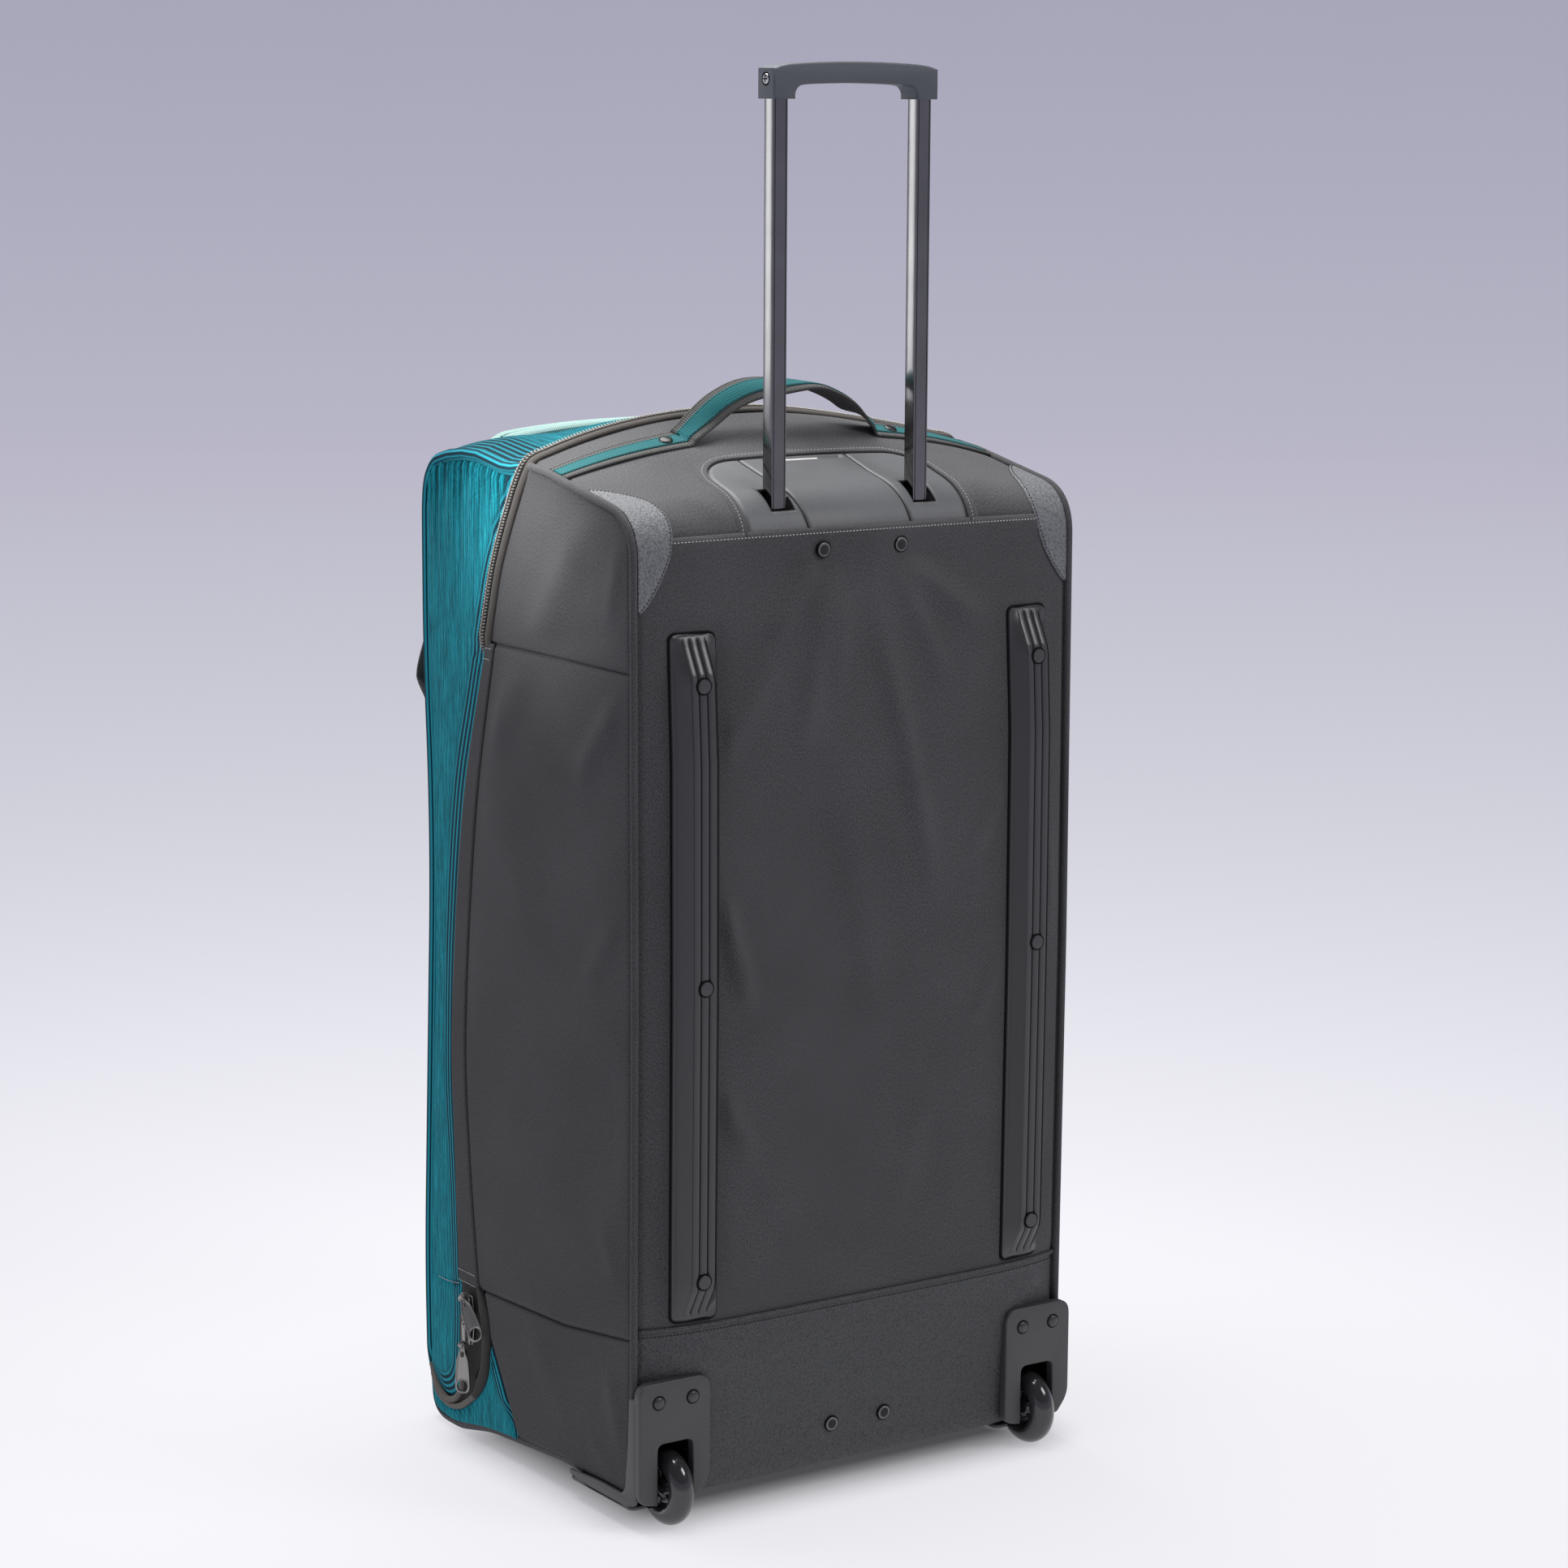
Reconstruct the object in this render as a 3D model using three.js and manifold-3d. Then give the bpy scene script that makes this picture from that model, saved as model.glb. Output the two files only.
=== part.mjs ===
// A wheeled travel bag: a soft body of sewn panels with a zipped lid, on two wheels,
// with two slide rails on its back and a pull-out trolley handle.
// Millimetres, +Z up. X runs across the back panel, Y from the back to the lid.

import * as THREE from 'three';
import { mergeVertices } from 'three/addons/utils/BufferGeometryUtils.js';
import Module from 'manifold-3d';

const wasm = await Module();
wasm.setup();

// Driving dimensions

const EDGE_X = 205; // middle of the piping, on each side of the bag
const PIPING_R = 3;
const CLOTH = 2; // thickness of the bag's cloth
const GAP = 0.4; // left between neighbouring pieces
const SIDE_OUT = 206; // outer face of the side panels
const WRAP_HALF = EDGE_X - PIPING_R - GAP; // half width of the panels between the two pipings
const LID_HALF = 205; // half width of the lid, which has no piping
const LID_SHOULDER = 8; // radius along the lid's sewn edges

const BASE_SEAM_Z = 158.5; // top of the grained patch
const BASE_UNDER_Y = 70; // how far the grained patch reaches under the bag
const HEM_Z = 768; // sewn hem below the trolley plate
const ZIP_Y = 152; // zip across the top
const ZIP_WIDTH = 11;
const LID_FOLD_Z = 772; // seam between the lid's top and front
const LID_FOOT_Z = 34; // lower edge of the lid's front

const RAIL_X = 157.8;
const RAIL_HALF = 18;
const RAIL_RIDGE_HALF = 6;
const RAIL_HEIGHT = 12.7;
const RAIL_RIVETS_Z = [198, 429, 660];

const TUBE_X = 66.5;
const TUBE_Y = 14.7;
const TUBE = { width: 13, depth: 12.5, wall: 1.4, corner: 2, foot: 740 };
const GUIDE = { width: 18, depth: 17.5, clear: 0.6, corner: 2, foot: 48, top: 758 };
const BRACKETS = [
  { foot: 742, top: 758 },
  { foot: 44, top: 68 },
];
const GRIP = { half: 76, leg: 20, foot: 1093.7, top: 1119, arch: 3, bar: 15, depth: 23 };
const PLATE = { half: 105, corner: 32, top_y: 76, thick: 3, slot_x: 22, slot_y: 20, low: 760, high: 890 };
const UPPER_RIVETS = { x: 36.4, z: 754 };
const LOWER_RIVETS = { x: 25.5, z: 55 };

const WHEEL = { x: 176, y: -6, r: 30.5, width: 21, bore: 3.6, sides: 20 };
const HUB = { r: 13, half: 6.5, flank: 16 }; // the wheel's sunk middle and its tyre's inner edge
const AXLE_R = 3;
const HOUSING = { in: 144, out: 209, foot: 18, top: 113, corner: 12, face: -19, back: -9, side_y: 2 };
const HOUSING_RIVETS = [
  { place: 'inner', x: -17, z: 95 },
  { place: 'outer', x: 17, z: 95 },
];
const WELL = { half: 16, wall: 3, top: 67, deep: 29, flange_y: 86 };

const STRAP = { width: 25, grip: 18, thick: 2.2, y: 110, rivet_x: 107, end: 196 };
const FRONT_STRAP = { x: -184, width: 25, thick: 2.2 };

// The bag's outline seen from the side: each corner with its rounding, from the back's foot upwards
const OUTLINE = [
  { y: -3, z: 20, round: 14 },
  { y: -6, z: 420, round: 6000 },
  { y: -4, z: 786, round: 42 },
  { y: 152, z: 817, round: 14 },
  { y: 317, z: 807, round: 30 },
  { y: 317, z: 650, round: 1600 },
  { y: 308, z: 500, round: 1600 },
  { y: 324, z: 140, round: 1600 },
  { y: 321, z: 0, round: 28 },
  { y: 274, z: 0, round: 60 },
  { y: 225, z: 11, round: 200 },
  { y: 110, z: 20, round: 200 },
];
const CORNER = { foot: OUTLINE[0], lid: OUTLINE[4], toe: OUTLINE[8] };

// How far each stretch of the outline swells out at mid width, and how flat the swell is across
const SWELL = [
  { y: -3, z: 26, swell: 8, flat: 6 },
  { y: -5, z: 130, swell: 13, flat: 6 },
  { y: -5, z: 600, swell: 14, flat: 6 },
  { y: -5, z: 700, swell: 9, flat: 4 },
  { y: -4, z: 745, swell: 3, flat: 3 },
  { y: 12, z: 783, swell: 7, flat: 2.5 },
  { y: 45, z: 797, swell: 12, flat: 2.5 },
  { y: 75, z: 803, swell: 18, flat: 2.5 },
  { y: 110, z: 809, swell: 28, flat: 2.5 },
  { y: 152, z: 817, swell: 32, flat: 2.5 },
  { y: 235, z: 812, swell: 27, flat: 2.5 },
  { y: 296, z: 808, swell: 16, flat: 3 },
  { y: 317, z: 740, swell: 12, flat: 4 },
  { y: 323, z: 120, swell: 11, flat: 4 },
  { y: 316, z: 6, swell: 0, flat: 4 },
  { y: 10, z: 20, swell: 0, flat: 4 },
];

// The zip's line down each side, and the flap that covers it below the side seam
const ZIP_LINE = [
  { y: 160, z: 800 },
  { y: 181, z: 762 },
  { y: 196, z: 730 },
  { y: 207, z: 695 },
  { y: 214, z: 669 },
];
const FLAP_FRONT = [
  { y: 214, z: 669 },
  { y: 254, z: 527 },
  { y: 274, z: 350 },
  { y: 271, z: 241 },
  { y: 266, z: 134 },
];
const FLAP_FOLD = [
  { y: 200, z: 669 },
  { y: 232, z: 527 },
  { y: 251, z: 350 },
  { y: 246, z: 241 },
  { y: 233, z: 134 },
];
const SIDE_SEAM_Z = 669;
const LOWER_SEAM = [
  { y: 0, z: 151 },
  { y: 98, z: 138 },
  { y: 272, z: 131 },
];
// The open end of the zip: down the side, then round forward under the lid's corner
const TAIL = { y: 247, top: 129, turn_z: 48, turn_r: 28, end_y: 309, end_z: 26, width: 11 };

// Carrying strap across the top: height of the free arch over the bag at each distance from the middle
const STRAP_ARCH = [
  { x: 0, lift: 37 },
  { x: 30, lift: 35 },
  { x: 56, lift: 26 },
  { x: 76, lift: 13 },
  { x: 90, lift: 3 },
  { x: 99, lift: 0 },
  { x: 196, lift: 0 },
];
// Strap on the lid's front: how far it stands off the cloth at each height
const FRONT_ARCH = [
  { z: 706, lift: 0 },
  { z: 682, lift: 0 },
  { z: 666, lift: 5 },
  { z: 640, lift: 19.5 },
  { z: 629, lift: 24 },
  { z: 622, lift: 22.5 },
  { z: 603, lift: 5 },
  { z: 594, lift: 0 },
  { z: 572, lift: 0 },
];
// One slide rail: half width and height over the cloth along its length
const RAIL_SECTIONS = [
  { z: 164, half: 13, height: 2.4 },
  { z: 168, half: 17, height: 2.8 },
  { z: 174, half: RAIL_HALF, height: 4 },
  { z: 189, half: RAIL_HALF, height: 11.4 },
  { z: 196, half: RAIL_HALF, height: RAIL_HEIGHT },
  { z: 429, half: RAIL_HALF, height: RAIL_HEIGHT },
  { z: 662, half: RAIL_HALF, height: RAIL_HEIGHT },
  { z: 670, half: RAIL_HALF, height: 11.4 },
  { z: 688, half: RAIL_HALF, height: 4 },
  { z: 694, half: 17, height: 2.8 },
  { z: 698, half: 13, height: 2.4 },
];
// The zip pulls: where each swings, how its plate leans from straight down, and its slider's middle
const PULLS = [
  { name: 'upper', z: 124, lean: 40, slider_z: 117 },
  { name: 'lower', z: 82, lean: 0, slider_z: 92 },
];
const SLIDER = { y: TAIL.y, width: 11, height: 20, thick: 5, ear: 1.5, bar: 1.1, pivot: 2.9 };
const PULL = { width: 11, length: 40, thick: 2, hole: 3.6, knuckle: 2.2, bore: 1.5, neck: 6.4 };

// Materials

const finish = (color, roughness, metalness = 0) => () =>
  new THREE.MeshStandardMaterial({ color, roughness, metalness });
const greyCloth = finish(0x47464b, 0.9);
const tealCloth = finish(0x0f7f8a, 0.85);
const grained = finish(0x3e4043, 0.6);
const palePatch = finish(0x75797d, 0.6);
const plastic = finish(0x3a3c3f, 0.5);
const rubberPlate = finish(0x464b50, 0.55);
const tyre = finish(0x111214, 0.2);
const chrome = finish(0x8d9296, 0.25, 1);
const darkMetal = finish(0x55575a, 0.4, 1);
const webbing = finish(0x69675f, 0.9);
const zipTape = finish(0x6e665c, 0.8);

// Solids: closed meshes joined and cut

function bareGeometry(geometry) {
  const bare = geometry.index ? geometry.toNonIndexed() : geometry.clone();
  bare.deleteAttribute('normal');
  bare.deleteAttribute('uv');
  return mergeVertices(bare, 1e-4);
}

function toSolid(geometry) {
  const bare = bareGeometry(geometry);
  const mesh = new wasm.Mesh({
    numProp: 3,
    vertProperties: new Float32Array(bare.attributes.position.array),
    triVerts: new Uint32Array(bare.index.array),
  });
  return new wasm.Manifold(mesh);
}

function toGeometry(solid) {
  const mesh = solid.getMesh();
  const geometry = new THREE.BufferGeometry();
  geometry.setAttribute('position', new THREE.BufferAttribute(new Float32Array(mesh.vertProperties), 3));
  geometry.setIndex(new THREE.BufferAttribute(new Uint32Array(mesh.triVerts), 1));
  geometry.computeVertexNormals();
  return geometry;
}

const cut = (geometry, tools) =>
  toGeometry(tools.reduce((solid, tool) => solid.subtract(toSolid(tool)), toSolid(geometry)));
const join = (geometries) =>
  toGeometry(geometries.map(toSolid).reduce((whole, next) => whole.add(next)));

function box(x0, x1, y0, y1, z0, z1) {
  const geometry = new THREE.BoxGeometry(x1 - x0, y1 - y0, z1 - z0);
  return geometry.translate((x0 + x1) / 2, (y0 + y1) / 2, (z0 + z1) / 2);
}

// A box on one side of the bag, from an inner to an outer distance from the middle
const sideBox = (side, x0, x1, ...rest) =>
  side > 0 ? box(x0, x1, ...rest) : box(-x1, -x0, ...rest);

// A wall between two grids of points of the same size, closed round its rim
function wall(outer, inner) {
  const rows = outer.length;
  const columns = outer[0].length;
  const points = [...outer.flat(), ...inner.flat()];
  const at = (layer, row, column) => layer * rows * columns + row * columns + column;
  const triangles = [];
  const quad = (a, b, c, d) => triangles.push(a, b, c, a, c, d);
  for (let row = 0; row + 1 < rows; row += 1) {
    for (let column = 0; column + 1 < columns; column += 1) {
      quad(at(0, row, column), at(0, row, column + 1), at(0, row + 1, column + 1), at(0, row + 1, column));
      quad(at(1, row, column), at(1, row + 1, column), at(1, row + 1, column + 1), at(1, row, column + 1));
    }
  }
  for (let row = 0; row + 1 < rows; row += 1) {
    quad(at(0, row, 0), at(0, row + 1, 0), at(1, row + 1, 0), at(1, row, 0));
    const end = columns - 1;
    quad(at(0, row + 1, end), at(0, row, end), at(1, row, end), at(1, row + 1, end));
  }
  for (let column = 0; column + 1 < columns; column += 1) {
    quad(at(0, 0, column + 1), at(0, 0, column), at(1, 0, column), at(1, 0, column + 1));
    const end = rows - 1;
    quad(at(0, end, column), at(0, end, column + 1), at(1, end, column + 1), at(1, end, column));
  }
  return outward(points, triangles);
}

// A mesh from points and triangles, turned so that its faces point out
function outward(points, triangles) {
  let volume = 0;
  for (let i = 0; i < triangles.length; i += 3) {
    const [a, b, c] = [0, 1, 2].map((k) => points[triangles[i + k]]);
    volume += a.dot(b.clone().cross(c));
  }
  if (volume < 0) triangles.reverse();
  const geometry = new THREE.BufferGeometry().setFromPoints(points);
  geometry.setIndex(triangles);
  geometry.computeVertexNormals();
  return geometry;
}

const steps = (from, to, count) =>
  Array.from({ length: count + 1 }, (_, i) => from + ((to - from) * i) / count);

// Value of a table's column at a place along another of its columns
function lookUp(table, place, from, column) {
  const rows = [...table].sort((a, b) => a[from] - b[from]);
  const next = rows.findIndex((row) => row[from] > place);
  if (next === -1) return rows.at(-1)[column];
  if (next === 0) return rows[0][column];
  const [a, b] = [rows[next - 1], rows[next]];
  const t = (place - a[from]) / (b[from] - a[from]);
  return THREE.MathUtils.lerp(a[column], b[column], t);
}

const smoothLine = (table, across, along) =>
  new THREE.SplineCurve(table.map((row) => new THREE.Vector2(row[across], row[along])));

// The outline as a closed path of lines and arcs

function roundedPath(corners) {
  const path = new THREE.Path();
  const count = corners.length;
  const point = (i) => new THREE.Vector2(corners[i % count].y, corners[i % count].z);
  for (let i = 0; i < count; i += 1) {
    const here = point(i);
    const before = point(i + count - 1).sub(here).normalize();
    const after = point(i + 1).sub(here).normalize();
    const half = Math.acos(THREE.MathUtils.clamp(before.dot(after), -1, 1)) / 2;
    const reach = corners[i].round / Math.tan(half);
    const start = here.clone().addScaledVector(before, reach);
    const end = here.clone().addScaledVector(after, reach);
    if (i === 0) path.moveTo(start.x, start.y);
    else path.lineTo(start.x, start.y);
    path.quadraticCurveTo(here.x, here.y, end.x, end.y);
  }
  path.closePath();
  return path;
}

const outline = roundedPath(OUTLINE);
const OUTLINE_STEPS = 2400;
outline.arcLengthDivisions = OUTLINE_STEPS;
const outlinePoints = outline.getSpacedPoints(OUTLINE_STEPS);
const outlineLength = outline.getLength();

// Distance along the outline to the place nearest a point
function station(y, z) {
  const distance = (p) => Math.hypot(p.x - y, p.y - z);
  const best = outlinePoints.reduce((a, p, i) => (distance(p) < distance(outlinePoints[a]) ? i : a), 0);
  return (best / OUTLINE_STEPS) * outlineLength;
}

function outlineAt(place) {
  const u = THREE.MathUtils.euclideanModulo(place / outlineLength, 1);
  const point = outline.getPointAt(u);
  const tangent = outline.getTangentAt(u);
  return { point, normal: new THREE.Vector2(-tangent.y, tangent.x) };
}

const swellTable = SWELL.map((row) => ({ ...row, place: station(row.y, row.z) }));
const firstRow = swellTable.reduce((a, b) => (a.place < b.place ? a : b));
const lastRow = swellTable.reduce((a, b) => (a.place > b.place ? a : b));
swellTable.push({ ...firstRow, place: firstRow.place + outlineLength });
swellTable.push({ ...lastRow, place: lastRow.place - outlineLength });

// A point of the wrap-round panels: along the outline, across the bag, and out from the cloth's face
function wrapPoint(place, x, out, half = WRAP_HALF, shoulder = 0) {
  const { point, normal } = outlineAt(place);
  const within = THREE.MathUtils.euclideanModulo(place, outlineLength);
  const share = 1 - Math.abs(x / half) ** lookUp(swellTable, within, 'place', 'flat');
  let drop = lookUp(swellTable, within, 'place', 'swell') * Math.max(share, 0);
  let across = x;
  const past = Math.abs(x) - (half - shoulder);
  if (shoulder && past > 0) {
    const turn = Math.asin(Math.min(past / shoulder, 1));
    drop -= shoulder * (1 - Math.cos(turn));
    across += Math.sign(x) * out * Math.sin(turn);
    return new THREE.Vector3(
      across,
      point.x + normal.x * (drop + out * Math.cos(turn)),
      point.y + normal.y * (drop + out * Math.cos(turn)),
    );
  }
  return new THREE.Vector3(across, point.x + normal.x * (drop + out), point.y + normal.y * (drop + out));
}

// Places across a panel, closer together where it curves: near its edges, or round a shoulder
const ACROSS = [1, 0.95, 0.87, 0.74, 0.5, 0];
const TURN = [90, 58, 26];
function acrossSteps(half, shoulder) {
  const flat = half - shoulder;
  const turn = TURN.map((deg) => flat + shoulder * Math.sin(THREE.MathUtils.degToRad(deg)));
  const right = shoulder ? [...turn, flat, flat * 0.6, 0] : ACROSS.map((share) => share * half);
  const left = right.slice(0, -1).map((x) => -x);
  return [...left, ...right.reverse()];
}

// A panel that runs across the bag, with a row of points at each of its places on the outline
function wrapPanel({ places, half = WRAP_HALF, shoulder = 0, out = 0, thick = CLOTH }) {
  const rows = [...places];
  rows[0] += GAP / 2;
  rows[rows.length - 1] -= GAP / 2;
  const across = acrossSteps(half, shoulder);
  const grid = (level) => rows.map((s) => across.map((x) => wrapPoint(s, x, level, half, shoulder)));
  return wall(grid(out), grid(out - thick));
}

// A patch on the panels, whose rows give its two side edges at each place along it
function wrapPatch({ rows, columns, out, thick }) {
  const grid = (level) =>
    rows.map(({ place, left, right }) =>
      steps(left, right, columns).map((x) => wrapPoint(place, x, level)));
  return wall(grid(out), grid(out - thick));
}

const zipTop = station(ZIP_Y, 817);
const PLACE = {
  under: station(BASE_UNDER_Y, 20) - outlineLength,
  base: station(-5, BASE_SEAM_Z),
  hem: station(0, HEM_Z),
  zipBack: zipTop - ZIP_WIDTH / 2,
  zipFront: zipTop + ZIP_WIDTH / 2,
  lidFold: station(CORNER.lid.y, LID_FOLD_Z),
  lidFoot: station(CORNER.toe.y, LID_FOOT_Z),
};
const bagGroup = new THREE.Group();

function add(name, geometry, material) {
  const mesh = new THREE.Mesh(geometry, material());
  mesh.name = name;
  bagGroup.add(mesh);
  return mesh;
}

const SIDES = [
  { side: -1, name: 'left' },
  { side: 1, name: 'right' },
];

// A cylinder or turned profile standing on a point, along a direction
function turned(profile, sides, foot, direction) {
  const points = profile.map(([r, h]) => new THREE.Vector2(r, h));
  const geometry = new THREE.LatheGeometry(points, sides);
  const turn = new THREE.Quaternion().setFromUnitVectors(new THREE.Vector3(0, 1, 0), direction);
  return geometry.applyQuaternion(turn).translate(foot.x, foot.y, foot.z);
}

const BACKWARD = new THREE.Vector3(0, -1, 0);
const UPWARD = new THREE.Vector3(0, 0, 1);
const ALONG_X = new THREE.Vector3(1, 0, 0);
const ALONG_Y = new THREE.Vector3(0, 1, 0);
const RIVET_SIDES = 8;

// Outer face of the back panel or base patch at a point of the back
function backFace(x, z) {
  return wrapPoint(station(-5, z), x, 0).y;
}

// What the wheel housings and rivets take out of the cloth

function housingSpace(side) {
  const { in: inner, out, foot, top, face, back, side_y: sideY } = HOUSING;
  const past = WELL.wall + GAP;
  const well = WELL.half + past;
  return [
    sideBox(side, inner - GAP, out + GAP, face - GAP, back + GAP, foot - GAP, top + GAP),
    sideBox(side, SIDE_OUT - PIPING_R - CLOTH, out + GAP, back - 1, sideY + GAP, foot - GAP, top + GAP),
    sideBox(side, WHEEL.x - well, WHEEL.x + well, back - 1, WELL.deep + past, 0, WELL.top + past),
  ];
}
const wheelSpaces = SIDES.flatMap(({ side }) => housingSpace(side));

const panelRivets = [
  { level: 'upper', ...UPPER_RIVETS },
  { level: 'lower', ...LOWER_RIVETS },
].flatMap(({ level, x, z }) =>
  SIDES.map(({ side, name }) => ({ name: `panel_rivet_${level}_${name}`, x: side * x, z })));
const RIVET = { head: 6, height: 2, shank: 2.2, hole: 2.6 };
const FRAME_FACE_Y = 3; // face of the trolley frame's brackets behind the back panel

const rivetHoles = panelRivets.map(({ x, z }) =>
  turned(
    [[0, 0], [RIVET.hole, 0], [RIVET.hole, 40], [0, 40]], RIVET_SIDES, new THREE.Vector3(x, 12, z), BACKWARD));

// Panels that run across the bag

const footTurn = station(CORNER.foot.y, CORNER.foot.z);
const footPlaces = [-16, -8, 0, 8, 16, 40, 80].map((past) => footTurn + past);
const basePatch = wrapPanel({ places: [PLACE.under, ...footPlaces, PLACE.base] });
add('base_patch', cut(basePatch, [...wheelSpaces, ...rivetHoles.slice(2)]), grained);
const backPlaces = steps(PLACE.base, PLACE.hem, 7);
const backPanel = wrapPanel({ places: backPlaces });
add('back_panel', cut(backPanel, rivetHoles.slice(0, 2)), greyCloth);

const plateTop = station(PLATE.top_y, 803);
const plateHalf = (place) => {
  const past = Math.max(place - (plateTop - PLATE.corner), 0);
  return PLATE.half - PLATE.corner + Math.sqrt(Math.max(PLATE.corner ** 2 - past ** 2, 0));
};
const plateRounding = steps(0, 80, 4).map((deg) => PLATE.corner * Math.sin(THREE.MathUtils.degToRad(deg)));
const platePlaces = [
  ...steps(PLACE.hem + GAP, plateTop - PLATE.corner - 4, 5),
  ...plateRounding.map((past) => plateTop - PLATE.corner + past),
];
const plateRows = (grow) => platePlaces.map((place, i) => {
  const half = plateHalf(place) + grow;
  const end = i === 0 ? -8 * grow : (i === platePlaces.length - 1 ? grow : 0);
  return { place: place + end, left: -half, right: half };
});
const PLATE_COLUMNS = 6;
const plateSpace = wrapPatch({ rows: plateRows(GAP), columns: PLATE_COLUMNS, out: 8, thick: 16 });
const topPlaces = [...steps(PLACE.hem, plateTop, 6), ...steps(plateTop + 25, PLACE.zipBack, 2)];
const topPanel = wrapPanel({ places: topPlaces });
add('top_panel', cut(topPanel, [plateSpace]), greyCloth);

const plate = wrapPatch({ rows: plateRows(0), columns: PLATE_COLUMNS, out: 0.4, thick: PLATE.thick });
const tubeSlots = SIDES.map(({ side }) =>
  box(
    side * TUBE_X - PLATE.slot_x / 2,
    side * TUBE_X + PLATE.slot_x / 2,
    TUBE_Y - PLATE.slot_y / 2,
    TUBE_Y + PLATE.slot_y / 2,
    PLATE.low,
    PLATE.high,
  ));
add('handle_plate', cut(plate, tubeSlots), rubberPlate);

add('zip_top', wrapPanel({ places: [PLACE.zipBack, zipTop, PLACE.zipFront], out: 0.6, thick: 2.6 }), zipTape);
const lid = { half: LID_HALF, shoulder: LID_SHOULDER };
const lidCorner = station(CORNER.lid.y, CORNER.lid.z);
const lidTurn = [-30, -15, 0, 15].map((past) => lidCorner + past);
const lidTopPlaces = [...steps(PLACE.zipFront, lidCorner - 50, 2), ...lidTurn, PLACE.lidFold];
add('lid_top', wrapPanel({ places: lidTopPlaces, ...lid }), tealCloth);
add('lid_front', wrapPanel({ places: steps(PLACE.lidFold, PLACE.lidFoot, 6), ...lid }), tealCloth);
const bottomEnd = PLACE.under + outlineLength;
const toe = station(CORNER.toe.y, CORNER.toe.z);
const toeTurn = [-20, -8, 6, 22, 34].map((past) => toe + past);
const bottomPlaces = [PLACE.lidFoot, ...toeTurn, ...steps(toe + 50, toe + 110, 2), bottomEnd];
add('bottom_panel', wrapPanel({ places: bottomPlaces, ...lid }), greyCloth);

// Side panels: flat shapes in the plane of the bag's side

const onSide = new THREE.Matrix4().makeBasis(ALONG_Y, UPWARD, ALONG_X);

// Points of the outline moved in from the edge, between two places
function insetLine(from, to, inset, count) {
  return steps(from, to, count).map((place) => {
    const { point, normal } = outlineAt(place);
    return point.clone().addScaledVector(normal, -inset);
  });
}

// Points of a line on the side, shifted along Y
const shifted = (curve, dy, count) => curve.getPoints(count).map((p) => new THREE.Vector2(p.x + dy, p.y));

function sidePanel(side, points, thick = CLOTH, out = SIDE_OUT) {
  const shape = new THREE.Shape(points);
  const geometry = new THREE.ExtrudeGeometry(shape, { depth: thick, bevelEnabled: false });
  return geometry.applyMatrix4(onSide).translate(side > 0 ? out - thick : -out, 0, 0);
}

const zipLine = smoothLine(ZIP_LINE, 'y', 'z');
const flapFront = smoothLine(FLAP_FRONT, 'y', 'z');
const flapFold = smoothLine(FLAP_FOLD, 'y', 'z');
const seamHeight = (y) => lookUp(LOWER_SEAM, y, 'y', 'z');
const PIPED = PIPING_R + 3 * GAP; // how far the side panels stay in from the piping
const LIDDED = LID_SHOULDER + 4 * GAP; // and from the lid's rounded edge
const LINE_STEPS = 8;
const SEAM_STEPS = [230, 98, 40];
const sideSeam = station(-5, SIDE_SEAM_Z);
const LID_SIDE_TOP = 801; // where the lid's side meets the zip
const zipAtTop = lookUp(ZIP_LINE, LID_SIDE_TOP, 'z', 'y');

// The middle of the zip's open end: straight down, then a turn forward to the lid's front
function tailLine() {
  const path = new THREE.Path();
  path.moveTo(TAIL.y, TAIL.top);
  path.lineTo(TAIL.y, TAIL.turn_z);
  path.absarc(TAIL.y + TAIL.turn_r, TAIL.turn_z, TAIL.turn_r, Math.PI, 1.5 * Math.PI, false);
  path.lineTo(TAIL.end_y, TAIL.end_z);
  return path.getPoints(6);
}

// A line's points moved sideways in its own plane
function beside(points, shift) {
  return points.map((p, i) => {
    const ahead = points[Math.min(i + 1, points.length - 1)];
    const behind = points[Math.max(i - 1, 0)];
    const along = ahead.clone().sub(behind).normalize();
    return new THREE.Vector2(p.x - along.y * shift, p.y + along.x * shift);
  });
}

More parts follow.
